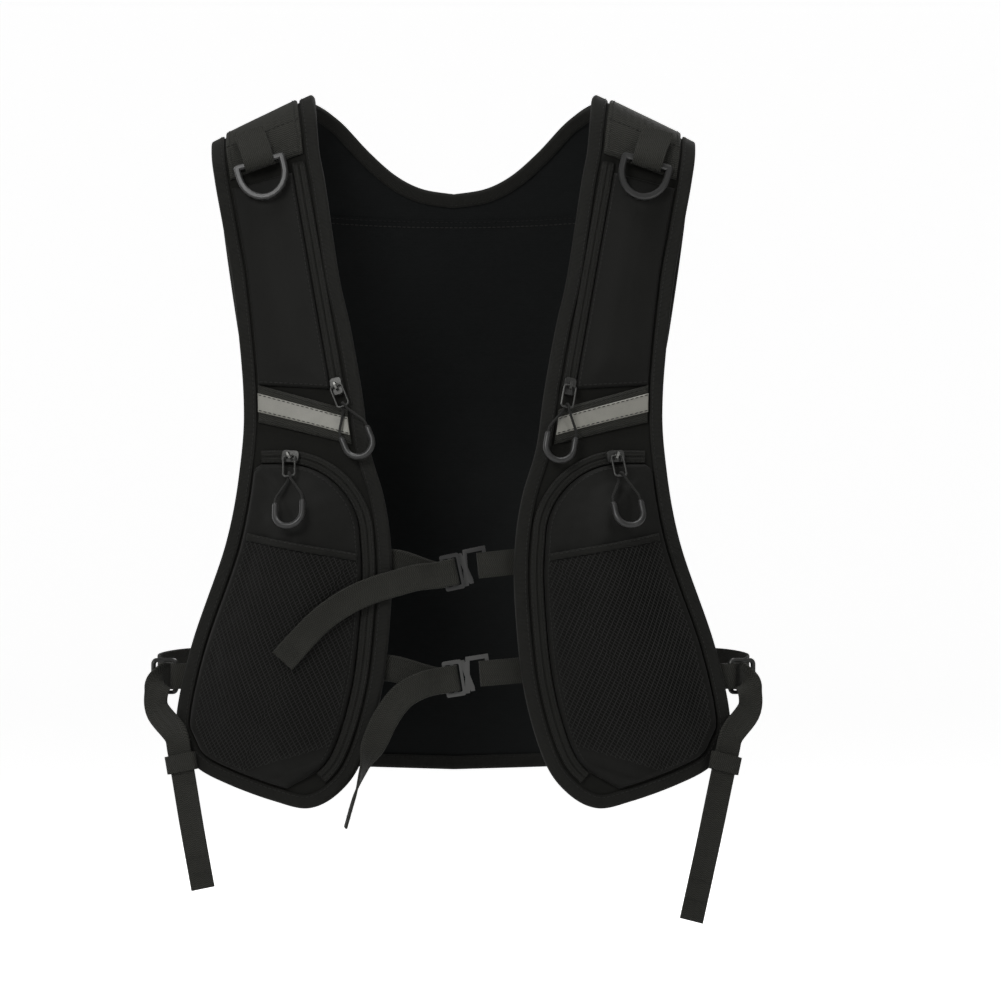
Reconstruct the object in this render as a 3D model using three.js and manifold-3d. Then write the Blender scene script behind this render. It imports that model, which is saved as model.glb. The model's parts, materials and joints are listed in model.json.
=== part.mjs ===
// A sleeveless utility vest: two front panels with shoulder straps, pockets and zips, a back panel,
// two chest straps with hook buckles, and an adjuster strap at each side.
// Millimetres. +Z is up, the front faces -Y, and the origin is the middle of the shoulder line.
import * as THREE from "three";
import { mergeVertices } from "three/addons/utils/BufferGeometryUtils.js";
import Module from "manifold-3d";

const wasm = await Module();
wasm.setup();

// ---------------------------------------------------------------- driving dimensions
// The size of the vest. The pattern below is drawn for the pattern sizes and graded to these.
const BODY_LENGTH = 401; // shoulder line to the lowest point of the front hem
const BODY_WIDTH = 312; // across the two front panels at their widest
const PATTERN_LENGTH = 401;
const PATTERN_WIDTH = 312;

// The torso that the vest hangs on
const NECK_HALF = 79; // neck edge of the shoulder
const NECK_RISE = 16.5; // shoulder line above the origin at the neck edge
const SHOULDER_SLOPE = 0.515;
const SHOULDER_ROUND = 40;
const SHOULDER_RADIUS = 24; // how the cloth turns over the shoulder
const FRONT_LEAN = THREE.MathUtils.degToRad(14);
const BACK_LEAN = THREE.MathUtils.degToRad(10);
const LEAN_DROP = 190; // the cloth leans out from the body down to this drop
const LEAN_BLEND = 45; // and is upright this much lower
const TORSO_CURVE = 75;
const TORSO_HALF = 190;
const CURVE_FADE = 250; // the curve round the body grows over this length

// Cloth, binding and tapes
const SEAM_BEHIND = 12; // shoulder seam, behind the shoulder line
const SEAM_GAP = 0.4;
const PANEL_THICK = 2.6;
const BACK_THICK = 2.2;
const EDGE_INSET = 1; // cut edge of a panel inside its binding
const BINDING_WIDTH = 7.5;
const BINDING_WALL = 0.8;
const BINDING_PLAY = 0.5; // between a panel and the binding folded round it
const LAYER_GAP = 0.8; // from a panel to what is sewn on it
const SIDE_GAP = 0.6; // between two pieces that lie side by side
const CORNER_EASE = 0.8; // more room where the outline bends
const TAPE_WIDTH = 7.2;
const TAPE_THICK = 1.2;
const ZIP_EASE = 0.8;
const WEB_WIDTH = 20;
const WEB_THICK = 1.6;
const STRIP_WIDTH = 9.5;
const STRIP_THICK = 0.5;
const STRIP_GAP = 0.3;
const STRAP_WIDTH = 15; // the narrow webbing
const STRAP_THICK = 1.3;
const STRAP_PLAY = 0.6;

// Pockets
const STRAP_POCKET_RIM = 2;
const STRAP_POCKET_RISE = 2.2;
const STRAP_POCKET_REACH = 16;
const POCKET_RIM = 3.4; // height of the pocket's side wall
const POCKET_RISE = 13; // how much further its face swells out
const POCKET_REACH = 36; // over this distance from its edge
const POCKET_CORNER = 46; // radius of the zip round the pocket's upper corner
const MESH_THICK = 1;
const MESH_GAP = 0.8;

// Hardware
const DRING_WIDTH = 30;
const DRING_HEIGHT = 25;
const DRING_STOCK = 3.6;
const DRING_TILT = THREE.MathUtils.degToRad(15.5);
const DRING_LEAN = THREE.MathUtils.degToRad(6);
const DRING_PLAY = 0.6;
const SLIDER_WIDTH = 6.6;
const SLIDER_LENGTH = 10;
const SLIDER_PLATE = 2.2;
const SLIDER_LIFT = 0.7; // above the tape
const ARCH_WIDTH = 1.4;
const ARCH_WALL = 0.8;
const ARCH_LIFT = 0.5;
const PIN_HOLE = 2.6;
const WIRE = 1.2;
const RING_WIDTH = 8;
const RING_LENGTH = 14;
const CORD_DIAMETER = 1.6;
const CORD_LENGTH = 16; // from the ring's lower wire to the grip
const GRIP_DIAMETER = 3.5;
const GRIP_HALF = 8;
const GRIP_LEG = 7;
const BUCKLE_LENGTH = 11; // the ladder
const BUCKLE_HEIGHT = 20.5;
const BUCKLE_THICK = 2.8;
const BUCKLE_BAR = 1.6;
const BUCKLE_RAIL = 2.3;
const HOOK_REACH = 20; // ladder's middle to the hook bar
const HOOK_BAR = 2.2;
const ARM_WIDTH = 2.4;
const ARM_THICK = 2.4;
const ARM_GAP = 3.9; // the short arm keeps this far from the loop, so that the hook can swing up and out
const LOOP_EYE = 8;
const LOOP_EYE_DEPTH = 3.4;
const SIDE_RING_WIDTH = 17;
const SIDE_RING_HEIGHT = 20.5;
const SIDE_RING_STOCK = 2.4;
const SIDE_TAB_LENGTH = 17;
const KEEPER_LENGTH = 10;
const KEEPER_WALL = 1.1;
const KEEPER_PLAY = 0.7;

// Where the loose pieces hang, as drawn on the pattern
const DRING_AT = [109, -21.5];
// Degrees that each pull leans to the right.
const PULL_LEAN = { left_strap: 22, right_strap: -10, left_pocket: 0, right_pocket: 12 };
const PULL_CLEAR = 3; // a pull's middle hangs this far off what is under it
const SLIDER_START = THREE.MathUtils.degToRad(5); // round the pocket's corner from its top
const SLIDER_TRAVEL = THREE.MathUtils.degToRad(50);
const CHEST_STRAPS = [
  {
    name: "upper",
    anchor: -246,
    buckle: [-0.5, -252],
    tilt: 12,
    tail: [[-20, -255], [-31, -258], [-44, -262], [-57, -268], [-71, -278.5], [-82, -291], [-91, -302]],
    edgeOn: false,
  },
  {
    name: "lower",
    anchor: -306,
    buckle: [0.5, -312],
    tilt: 9,
    tail: [[-18, -316], [-28, -322], [-37, -334], [-43, -347], [-49, -362], [-55, -380], [-59.5, -396]],
    edgeOn: true,
  },
];
const SIDE_LEVEL = -309;
const SIDE_RING_OUT = 8; // from the panel's edge to the ring's inner bar
const SIDE_OUT = 168; // how far out the side straps run
const BACK_STRAP_SEWN = 127;
const KEEPER_HEIGHT = 9.5;
const KEEPER_AT = [149.5, -360];
const SIDE_TAIL_END = { left: [135.5, -431], right: [128, -449] };

// ---------------------------------------------------------------- materials
const cloth = (color, roughness) => new THREE.MeshStandardMaterial({ color, roughness, metalness: 0 });
const PANEL_CLOTH = cloth(0x1f1f1e, 0.85);
const LINING_CLOTH = cloth(0x141616, 0.9);
const BINDING_CLOTH = cloth(0x2a2a27, 0.9);
const TAPE_CLOTH = cloth(0x2b2b28, 0.85);
const WEBBING = cloth(0x242422, 0.75);
const MESH_CLOTH = cloth(0x191a19, 0.95);
const REFLECTIVE = new THREE.MeshStandardMaterial({ color: 0xa5a298, roughness: 0.35, metalness: 0.1 });
const PLASTIC = new THREE.MeshStandardMaterial({ color: 0x3c3c3a, roughness: 0.45, metalness: 0 });
const METAL = new THREE.MeshStandardMaterial({ color: 0x4a4a49, roughness: 0.35, metalness: 0.9 });
const CORD_CLOTH = cloth(0x1c1c1c, 0.8);

// ---------------------------------------------------------------- the torso surface
const graded = (x, z) => [(x * BODY_WIDTH) / PATTERN_WIDTH, (z * BODY_LENGTH) / PATTERN_LENGTH];

function ridge(x) {
  const run = Math.hypot(x, SHOULDER_ROUND) - Math.hypot(NECK_HALF, SHOULDER_ROUND);
  return NECK_RISE - SHOULDER_SLOPE * run;
}

const leanAt = (along) => (along >= 0 ? FRONT_LEAN : BACK_LEAN);

// How far out and how far down the cloth is, at a length along it from the shoulder line.
function profile(along) {
  const lean = leanAt(along);
  const length = Math.abs(along);
  const turn = Math.PI / 2 - lean;
  const roundLength = SHOULDER_RADIUS * turn;
  if (length <= roundLength) {
    const angle = length / SHOULDER_RADIUS;
    return { out: SHOULDER_RADIUS * Math.sin(angle), drop: SHOULDER_RADIUS * (1 - Math.cos(angle)) };
  }
  const roundOut = SHOULDER_RADIUS * Math.sin(turn);
  const roundDrop = SHOULDER_RADIUS * (1 - Math.cos(turn));
  const slopeLength = (LEAN_DROP - roundDrop) / Math.cos(lean);
  const onSlope = Math.min(length - roundLength, slopeLength);
  const blendRadius = LEAN_BLEND / Math.sin(lean);
  const onBlend = THREE.MathUtils.clamp(length - roundLength - slopeLength, 0, blendRadius * lean);
  const left = lean - onBlend / blendRadius;
  const upright = Math.max(0, length - roundLength - slopeLength - blendRadius * lean);
  return {
    out: roundOut + onSlope * Math.sin(lean) + blendRadius * (Math.cos(left) - Math.cos(lean)),
    drop: roundDrop + onSlope * Math.cos(lean) + blendRadius * (Math.sin(lean) - Math.sin(left)) + upright,
  };
}

// The length along the cloth at a drop below the shoulder line: profile the other way round.
function alongAt(drop, lean) {
  const turn = Math.PI / 2 - lean;
  const roundDrop = SHOULDER_RADIUS * (1 - Math.cos(turn));
  if (drop <= roundDrop) return SHOULDER_RADIUS * Math.acos(1 - Math.max(0, drop) / SHOULDER_RADIUS);
  const roundLength = SHOULDER_RADIUS * turn;
  if (drop <= LEAN_DROP) return roundLength + (drop - roundDrop) / Math.cos(lean);
  const slopeLength = (LEAN_DROP - roundDrop) / Math.cos(lean);
  const blendRadius = LEAN_BLEND / Math.sin(lean);
  const sine = Math.sin(lean) - (drop - LEAN_DROP) / blendRadius;
  if (sine > 0) return roundLength + slopeLength + blendRadius * (lean - Math.asin(sine));
  return roundLength + slopeLength + blendRadius * lean + (drop - LEAN_DROP - LEAN_BLEND);
}

function onTorso(x, along) {
  const { out, drop } = profile(along);
  const front = along >= 0 ? 1 : -1;
  const fade = THREE.MathUtils.smoothstep(Math.abs(along), 0, CURVE_FADE);
  const share = Math.min(Math.abs(x) / TORSO_HALF, 0.98);
  const curve = fade * TORSO_CURVE * (1 - Math.sqrt(1 - share * share));
  return new THREE.Vector3(x, front * (curve - out), ridge(x) - drop);
}

function outward(x, along) {
  const step = 0.5;
  const down = onTorso(x, along + step).sub(onTorso(x, along - step));
  const across = onTorso(x + step, along).sub(onTorso(x - step, along));
  return down.cross(across).normalize();
}

// A point of the vest: x across, reach down the front or back from the origin's level, height off the cloth.
function pointOn(side, x, reach, height) {
  const along = side * (reach + ridge(x));
  return onTorso(x, along).addScaledVector(outward(x, along), height);
}
const onFront = (x, reach, height) => pointOn(1, x, reach, height);
const onBack = (x, reach, height) => pointOn(-1, x, reach, height);

const frontAt = ([x, z]) => new THREE.Vector2(x, alongAt(ridge(x) - z, FRONT_LEAN) - ridge(x));
const backAt = ([x, z]) => new THREE.Vector2(x, alongAt(ridge(x) - z, BACK_LEAN) - ridge(x));
const pastRidge = (x, along) => new THREE.Vector2(x, along - ridge(x));

// ---------------------------------------------------------------- paths on the cloth
// Points at given shares of a path's length.
function resample(points, shares) {
  const lengths = [0];
  for (let i = 1; i < points.length; i++) lengths.push(lengths[i - 1] + points[i].distanceTo(points[i - 1]));
  const total = lengths[lengths.length - 1];
  return shares.map((share) => {
    const wanted = share * total;
    let i = 1;
    while (i < points.length - 1 && lengths[i] < wanted) i++;
    const part = (wanted - lengths[i - 1]) / (lengths[i] - lengths[i - 1]);
    return points[i - 1].clone().lerp(points[i], part);
  });
}

const evenly = (count) => Array.from({ length: count + 1 }, (_, i) => i / count);

// Closer steps where the cloth turns over the shoulder, even steps below it.
function shoulderShares(closeSteps, closeShare, steps) {
  const close = evenly(closeSteps).map((t) => t * closeShare);
  const rest = evenly(steps - closeSteps).map((t) => closeShare + t * (1 - closeShare));
  return close.concat(rest.slice(1));
}

// Moves a path sideways over the cloth. The path runs down, round and up, with the piece on its inner side.
function inset(path, distance) {
  return path.map((p, i) => {
    const before = path[Math.max(0, i - 1)];
    const after = path[Math.min(path.length - 1, i + 1)];
    const run = after.clone().sub(before).normalize();
    return new THREE.Vector2(p.x + run.y * distance, p.y - run.x * distance);
  });
}

const smooth = (points, count = 400) => new THREE.SplineCurve(points).getPoints(count);

function nearestIndex(path, point) {
  const distances = path.map((p) => p.distanceTo(point));
  return distances.indexOf(Math.min(...distances));
}

function distanceToPath(path, p) {
  let least = Infinity;
  for (let i = 1; i < path.length; i++) {
    const edge = path[i].clone().sub(path[i - 1]);
    const share = p.clone().sub(path[i - 1]).dot(edge) / Math.max(edge.lengthSq(), 1e-9);
    const foot = path[i - 1].clone().addScaledVector(edge, THREE.MathUtils.clamp(share, 0, 1));
    least = Math.min(least, foot.distanceTo(p));
  }
  return least;
}

// Rows of points between two paths with the same number of points.
function rowsBetween(first, second, shares) {
  return first.map((p, i) => shares.map((share) => p.clone().lerp(second[i], share)));
}

// ---------------------------------------------------------------- solids
function solidGeometry(points, triangles) {
  let volume = 0;
  for (const [a, b, c] of triangles) volume += points[a].dot(points[b].clone().cross(points[c]));
  const turned = volume < 0 ? triangles.map(([a, b, c]) => [a, c, b]) : triangles;
  const geometry = new THREE.BufferGeometry().setFromPoints(points);
  geometry.setIndex(turned.flat());
  return geometry;
}

// Grids of points on the cloth, closed into one solid between two heights off the cloth.
function slab(grids, place, low, high) {
  const corners = [];
  const known = new Map();
  const cornerOf = (p) => {
    const key = p.x.toFixed(3) + " " + p.y.toFixed(3);
    if (!known.has(key)) known.set(key, corners.push(p) - 1);
    return known.get(key);
  };
  const faces = [];
  const addFace = (a, b, c) => {
    const area = b.clone().sub(a).cross(c.clone().sub(a));
    if (Math.abs(area) < 1e-4) return;
    const face = [a, b, c].map(cornerOf);
    faces.push(area > 0 ? face : face.reverse());
  };
  for (const rows of grids)
    for (let r = 1; r < rows.length; r++)
      for (let c = 1; c < rows[r].length; c++) {
        addFace(rows[r - 1][c - 1], rows[r - 1][c], rows[r][c]);
        addFace(rows[r - 1][c - 1], rows[r][c], rows[r][c - 1]);
      }
  const edges = new Set(faces.flatMap(([a, b, c]) => [a + " " + b, b + " " + c, c + " " + a]));
  const count = corners.length;
  const heightOf = (height, p) => (typeof height === "function" ? height(p) : height);
  const points = corners
    .map((p) => place(p.x, p.y, heightOf(high, p)))
    .concat(corners.map((p) => place(p.x, p.y, heightOf(low, p))));
  const triangles = [];
  for (const [a, b, c] of faces) {
    triangles.push([a, b, c], [a + count, c + count, b + count]);
    for (const [from, to] of [[a, b], [b, c], [c, a]]) {
      if (edges.has(to + " " + from)) continue;
      triangles.push([to, from, from + count], [to, from + count, to + count]);
    }
  }
  return solidGeometry(points, triangles);
}

// Rings of points, joined into one solid with a flat cap at each end.
function loft(rings, section) {
  const sides = section.length;
  const triangles = [];
  for (let i = 1; i < rings.length; i++)
    for (let j = 0; j < sides; j++) {
      const here = (i - 1) * sides + j;
      const next = (i - 1) * sides + ((j + 1) % sides);
      triangles.push([here, next, next + sides], [here, next + sides, here + sides]);
    }
  const last = (rings.length - 1) * sides;
  for (const cap of THREE.ShapeUtils.triangulateShape(section, [])) {
    const [a, b, c] = THREE.ShapeUtils.isClockWise(section) ? [...cap].reverse() : cap;
    triangles.push([c, b, a], [a + last, b + last, c + last]);
  }
  return solidGeometry(rings.flat(), triangles);
}

const sectionOf = (corners) => corners.map(([w, h]) => new THREE.Vector2(w, h));

// A strip that follows a path on the cloth. Its section gives inset from the path and height.
function strip(path, place, section) {
  const lines = section.map((corner) => inset(path, corner.x));
  const rings = path.map((_, i) => section.map((corner, j) => place(lines[j][i].x, lines[j][i].y, corner.y)));
  return loft(rings, section);
}

const boxSection = (from, to, low, high) => sectionOf([[from, low], [to, low], [to, high], [from, high]]);

// Binding tape folded round the cut edge of a panel.
function bindingSection(thick) {
  const low = -BINDING_PLAY;
  const high = thick + BINDING_PLAY;
  const fold = EDGE_INSET - BINDING_PLAY;
  return sectionOf([
    [fold - BINDING_WALL, low - BINDING_WALL],
    [BINDING_WIDTH, low - BINDING_WALL],
    [BINDING_WIDTH, low],
    [fold, low],
    [fold, high],
    [BINDING_WIDTH, high],
    [BINDING_WIDTH, high + BINDING_WALL],
    [fold - BINDING_WALL, high + BINDING_WALL],
  ]);
}

// Webbing through a list of places, each with the direction of its width.
function ribbon(stations, width, thick, stepsBetween) {
  const route = new THREE.CatmullRomCurve3(stations.map((s) => s.at), false, "centripetal");
  const widths = new THREE.CatmullRomCurve3(stations.map((s) => s.across), false, "centripetal");
  const section = boxSection(-width / 2, width / 2, -thick / 2, thick / 2);
  const rings = evenly(stepsBetween * (stations.length - 1)).map((t) => {
    const tangent = route.getTangent(t);
    const across = widths.getPoint(t);
    across.addScaledVector(tangent, -across.dot(tangent)).normalize();
    const face = tangent.clone().cross(across);
    return section.map((c) => route.getPoint(t).addScaledVector(across, c.x).addScaledVector(face, c.y));
  });
  return loft(rings, section);
}

function toSolid(geometry) {
  const bare = geometry.clone();
  bare.deleteAttribute("normal");
  bare.deleteAttribute("uv");
  const merged = mergeVertices(bare, 1e-4);
  const mesh = { numProp: 3, vertProperties: merged.attributes.position.array, triVerts: merged.index.array };
  return new wasm.Manifold(new wasm.Mesh({ ...mesh, triVerts: new Uint32Array(mesh.triVerts) }));
}

function fromSolid(solid) {
  const mesh = solid.getMesh();
  const geometry = new THREE.BufferGeometry();
  geometry.setAttribute("position", new THREE.BufferAttribute(new Float32Array(mesh.vertProperties), 3));
  geometry.setIndex(new THREE.BufferAttribute(new Uint32Array(mesh.triVerts), 1));
  return geometry;
}

const joined = (first, ...others) =>
  fromSolid(others.reduce((sum, g) => sum.add(toSolid(g)), toSolid(first)));

// An extruded outline, centred on its own thickness.
function plate(shape, thick, bevel = 0, curveSegments = 6) {
  const geometry = new THREE.ExtrudeGeometry(shape, {
    depth: thick - 2 * bevel,
    bevelEnabled: bevel > 0,
    bevelSegments: 1,
    bevelSize: bevel,
    bevelThickness: bevel,
    bevelOffset: -bevel,
    curveSegments,
  });
  return geometry.translate(0, 0, bevel - thick / 2);
}

function roundedRect(path, left, bottom, right, top, radius) {
  path.moveTo(left + radius, bottom);
  path.lineTo(right - radius, bottom);
  path.absarc(right - radius, bottom + radius, radius, -Math.PI / 2, 0);
  path.lineTo(right, top - radius);
  path.absarc(right - radius, top - radius, radius, 0, Math.PI / 2);
  path.lineTo(left + radius, top);
  path.absarc(left + radius, top - radius, radius, Math.PI / 2, Math.PI);
  path.lineTo(left, bottom + radius);
  path.absarc(left + radius, bottom + radius, radius, Math.PI, Math.PI * 1.5);
  return path;
}

function rodAlong(points, diameter, sides, steps) {
  const circle = new THREE.Shape().absarc(0, 0, diameter / 2, 0, Math.PI * 2);
  const extrudePath = new THREE.CatmullRomCurve3(points, false, "centripetal");
  return new THREE.ExtrudeGeometry(circle, { steps, curveSegments: sides, extrudePath });
}

// ---------------------------------------------------------------- pattern of the front panels
const INNER_EDGE = [
  [76.5, -10], [72.5, -33], [64.5, -85], [58, -114], [51.5, -150], [47, -182],
  [39, -210], [35, -238], [35, -270], [40, -318], [51, -357], [64, -376],
];
const HEM = [[81, -385], [101, -381]];
const OUTER_EDGE = [
  [126, -372], [144, -362.5], [152, -350], [155.5, -334], [146.5, -292], [127, -234],
  [119, -188], [118, -150], [124, -92], [130, -58], [136, -24],
];
const SHOULDER_OUT = 136.5;
const HEM_MIDDLE = 2 + INNER_EDGE.length; // place of the hem's first point in the whole outline

function frontOutline() {
  const inner = graded(NECK_HALF, 0)[0];
  const outer = graded(SHOULDER_OUT, 0)[0];
  return [
    pastRidge(inner + 0.5, -SEAM_BEHIND),
    pastRidge(inner, 0),
    ...[...INNER_EDGE, ...HEM, ...OUTER_EDGE].map(([x, z]) => frontAt(graded(x, z))),
    pastRidge(outer, 0),
    pastRidge(outer, -SEAM_BEHIND),
  ];
}

const FRONT_STEPS = 28;
const frontShares = shoulderShares(7, 0.115, FRONT_STEPS);
const OUTLINE = frontOutline();
const OUTLINE_DENSE = smooth(OUTLINE, (OUTLINE.length - 1) * 20);
const innerRun = resample(OUTLINE_DENSE.slice(0, HEM_MIDDLE * 20 + 1), frontShares);
const outerRun = resample(OUTLINE_DENSE.slice(HEM_MIDDLE * 20).reverse(), frontShares);
const frontPath = innerRun.concat([...outerRun].reverse().slice(1));

const COLUMNS = 7;
const panelEdge = inset(frontPath, EDGE_INSET);
const panelRows = rowsBetween(
  panelEdge.slice(0, FRONT_STEPS + 1),
  [...panelEdge].reverse().slice(0, FRONT_STEPS + 1),
  evenly(COLUMNS),
);

// The two sides of the space between the bindings, from the shoulder down
const clearOfBinding = BINDING_WIDTH + SIDE_GAP + CORNER_EASE;
const innerSide = inset(OUTLINE_DENSE, clearOfBinding).slice(0, HEM_MIDDLE * 20 + 1);
const outerSide = inset(OUTLINE_DENSE, clearOfBinding).slice(HEM_MIDDLE * 20).reverse();

// The stretch of a side path between two levels, given as heights z.
function stretch(path, fromZ, toZ, shares) {
  const levelOf = (p) => onFront(p.x, p.y, 0).z;
  const start = path.findIndex((p, i) => i > 40 && levelOf(p) <= fromZ);
  const end = path.findIndex((p, i) => i > start && levelOf(p) <= toZ);
  return resample(path.slice(start, end < 0 ? undefined : end + 1), shares);
}
const levelled = (z) => graded(0, z)[1];

// ---------------------------------------------------------------- zips
const zipInset = BINDING_WIDTH + SIDE_GAP + TAPE_WIDTH / 2 + ZIP_EASE;
const ZIP_TOP = -20;
const ZIP_BOTTOM = -147;
const zipSide = inset(OUTLINE_DENSE, zipInset).slice(0, HEM_MIDDLE * 20 + 1);
const strapZipEnds = stretch(zipSide, levelled(ZIP_TOP), levelled(ZIP_BOTTOM), [0, 1]);
const strapZip = resample(strapZipEnds, evenly(9));

// Pocket zip: level at the top, round the upper corner, then down beside the inner edge.
const POCKET_TOP = -186.5;
const ZIP_OUTER_END = 107;
const cornerLevel = levelled(POCKET_TOP) - POCKET_CORNER;
const besideEdge = stretch(zipSide, cornerLevel, -Infinity, evenly(60));
const cornerCentre = new THREE.Vector2(besideEdge[0].x + POCKET_CORNER, besideEdge[0].y);
const zipCorner = evenly(12).map((t) => {
  const angle = -Math.PI / 2 - (t * Math.PI) / 2;
  return new THREE.Vector2(Math.cos(angle), Math.sin(angle)).multiplyScalar(POCKET_CORNER).add(cornerCentre);
});
const zipStart = new THREE.Vector2(graded(ZIP_OUTER_END, 0)[0], zipCorner[0].y);
const TOE_STEPS = 4; // the zip ends this many steps above the hem
const pocketZipDense = [zipStart, ...zipCorner, ...besideEdge.slice(1)];
const pocketZip = resample(pocketZipDense.slice(0, -TOE_STEPS), evenly(30));


// ---------------------------------------------------------------- pockets
const tapeClear = TAPE_WIDTH / 2 + SIDE_GAP;
const LAYER_LOW = PANEL_THICK + LAYER_GAP;
const REFLECTOR_IN = -160.5;
const REFLECTOR_OUT = -146.5;

const strapPocketInner = resample(inset(strapZip, tapeClear), evenly(10).map((t) => 0.04 + 0.96 * t));
const strapPocketOuter = stretch(outerSide, levelled(ZIP_TOP - 15), levelled(REFLECTOR_OUT + 2), evenly(10));
const strapPocketEdge = [...strapPocketInner, ...[...strapPocketOuter].reverse(), strapPocketInner[0]];

const swell = (share) => THREE.MathUtils.smoothstep(share, 0, 1);
const strapPocketTop = (p) =>
  LAYER_LOW +
  STRAP_POCKET_RIM +
  STRAP_POCKET_RISE * swell(distanceToPath(strapPocketEdge, p) / STRAP_POCKET_REACH);

// The cargo pocket fills the space inside its zip. One row of its grid is the mesh pocket's upper edge.
const MESH_TOP_IN = -247;
const MESH_TOP_OUT = -231;
const POCKET_COLUMNS = [0, 0.035, 0.1, 0.19, 0.3, 0.42, 0.54, 0.66, 0.77, 0.87, 0.95, 1];
const UPPER_SHARES = [0, 0.1, 0.22, 0.36, 0.5, 0.65, 0.82, 1];
const LOWER_SHARES = [0, 0.11, 0.23, 0.36, 0.49, 0.62, 0.74, 0.84, 0.91, 0.96, 1];
const MESH_ROWS = 8;
const POCKET_TOE = 16; // width of the pocket's lowest end

const besideZip = inset(pocketZipDense, tapeClear).slice(0, -TOE_STEPS);
const meshTopIn = new THREE.Vector2(besideEdge[0].x + tapeClear, frontAt(graded(60, MESH_TOP_IN)).y);
const splitIn = nearestIndex(besideZip, meshTopIn);
const upperIn = resample(besideZip.slice(0, splitIn + 1), UPPER_SHARES);
const lowerIn = resample(besideZip.slice(splitIn), LOWER_SHARES);
const upperOutFrom = levelled(POCKET_TOP) - tapeClear - 3;
const upperOut = stretch(outerSide, upperOutFrom, levelled(MESH_TOP_OUT), UPPER_SHARES);
const pocketToe = besideZip[besideZip.length - 1];
const lowerOutDense = outerSide
  .slice(nearestIndex(outerSide, upperOut[upperOut.length - 1]))
  .filter((p) => p.x > pocketToe.x + POCKET_TOE);
const lowerOut = resample([upperOut[upperOut.length - 1], ...lowerOutDense.slice(1)], LOWER_SHARES);
const upperRows = rowsBetween(upperIn, upperOut, POCKET_COLUMNS);
const lowerRows = rowsBetween(lowerIn, lowerOut, POCKET_COLUMNS);
const pocketEdge = [...besideZip, ...[...lowerOutDense].reverse(), ...[...upperOut].reverse(), besideZip[0]];
const pocketTop = (p) =>
  LAYER_LOW + POCKET_RIM + POCKET_RISE * swell(distanceToPath(pocketEdge, p) / POCKET_REACH);
const meshRows = lowerRows.slice(0, MESH_ROWS + 1).map((row) => row.slice(1, -1));

// ---------------------------------------------------------------- the back panel
const BACK_NECK = [[70, 8.5], [62, 2], [48, -13], [33, -26], [18, -33.5], [0, -36.5]];
const BACK_OUTER = [[131, -60], [123, -115], [115, -160], [114, -200], [119, -250], [126, -300], [129, -338]];
const BACK_HEM = [[124, -356], [104, -361], [60, -364], [0, -366]];
const BACK_STEPS = 28;
const NECK_STEPS = 13;

const backSeam = (x) => pastRidge(x, SEAM_BEHIND + SEAM_GAP);
const neckRun = smooth(
  [backSeam(graded(NECK_HALF, 0)[0] + 0.5), ...BACK_NECK.map(([x, z]) => backAt(graded(x, z)))],
  120,
);
const backOuterRun = smooth(
  [
    backSeam(graded(SHOULDER_OUT, 0)[0]),
    ...[...BACK_OUTER, ...BACK_HEM].map(([x, z]) => backAt(graded(x, z))),
  ],
  240,
);
const mirrorPath = (path) => path.map((p) => new THREE.Vector2(-p.x, p.y));
const wholePath = (half) => mirrorPath(half).concat([...half].reverse().slice(1));

const neckPath = wholePath(resample(neckRun, shoulderShares(5, 0.3, NECK_STEPS)));
const backEdgePath = wholePath(resample(backOuterRun, shoulderShares(9, 0.15, BACK_STEPS)));

const withMiddles = (path) => path.flatMap((p, i) => (i ? [p.clone().lerp(path[i - 1], 0.5), p] : [p]));

function backGrids() {
  const neckHalf = mirrorPath(inset(neckPath, -EDGE_INSET).slice(0, NECK_STEPS + 1));
  const centreTop = neckHalf[NECK_STEPS];
  centreTop.x = 0;
  const edge = mirrorPath(inset(backEdgePath, EDGE_INSET).slice(0, BACK_STEPS + 1));
  const hemLevel = edge[BACK_STEPS].y;
  const cornerAt = nearestIndex(edge, backAt(graded(...BACK_HEM[0])));
  const centre = evenly(cornerAt - NECK_STEPS + 1).map(
    (t) => new THREE.Vector2(0, THREE.MathUtils.lerp(centreTop.y, hemLevel, t)),
  );
  const inner = neckHalf.concat(centre.slice(1, -1));
  const hem = withMiddles(edge.slice(cornerAt).reverse());
  const right = rowsBetween(inner, edge.slice(0, cornerAt + 1), evenly(hem.length - 1));
  right.push(hem);
  return [right, right.map(mirrorPath)];
}

// ---------------------------------------------------------------- building the vest
const vest = new THREE.Group();
vest.name = "utility_vest";

function add(name, geometry, material, parent = vest) {
  const mesh = new THREE.Mesh(geometry, material);
  mesh.name = name;
  parent.add(mesh);
  return mesh;
}

// A place on the front of one half of the vest, with its own axes: across, up and out from the cloth.
function frameAt(hand, x, reach, height, turn = 0) {
  const at = onFront(hand * x, reach, height);
  const out = outward(hand * x, reach + ridge(x));
  const up = at.clone().sub(onFront(hand * x, reach + 1, height)).normalize();
  const across = up.clone().cross(out).normalize();
  const frame = new THREE.Matrix4().makeBasis(across, out.clone().cross(across), out).setPosition(at);
  return frame.multiply(new THREE.Matrix4().makeRotationZ(turn));
}

function groupAt(frame, parent = vest) {
  const group = new THREE.Group();
  group.applyMatrix4(frame);
  parent.add(group);
  return group;
}

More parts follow.
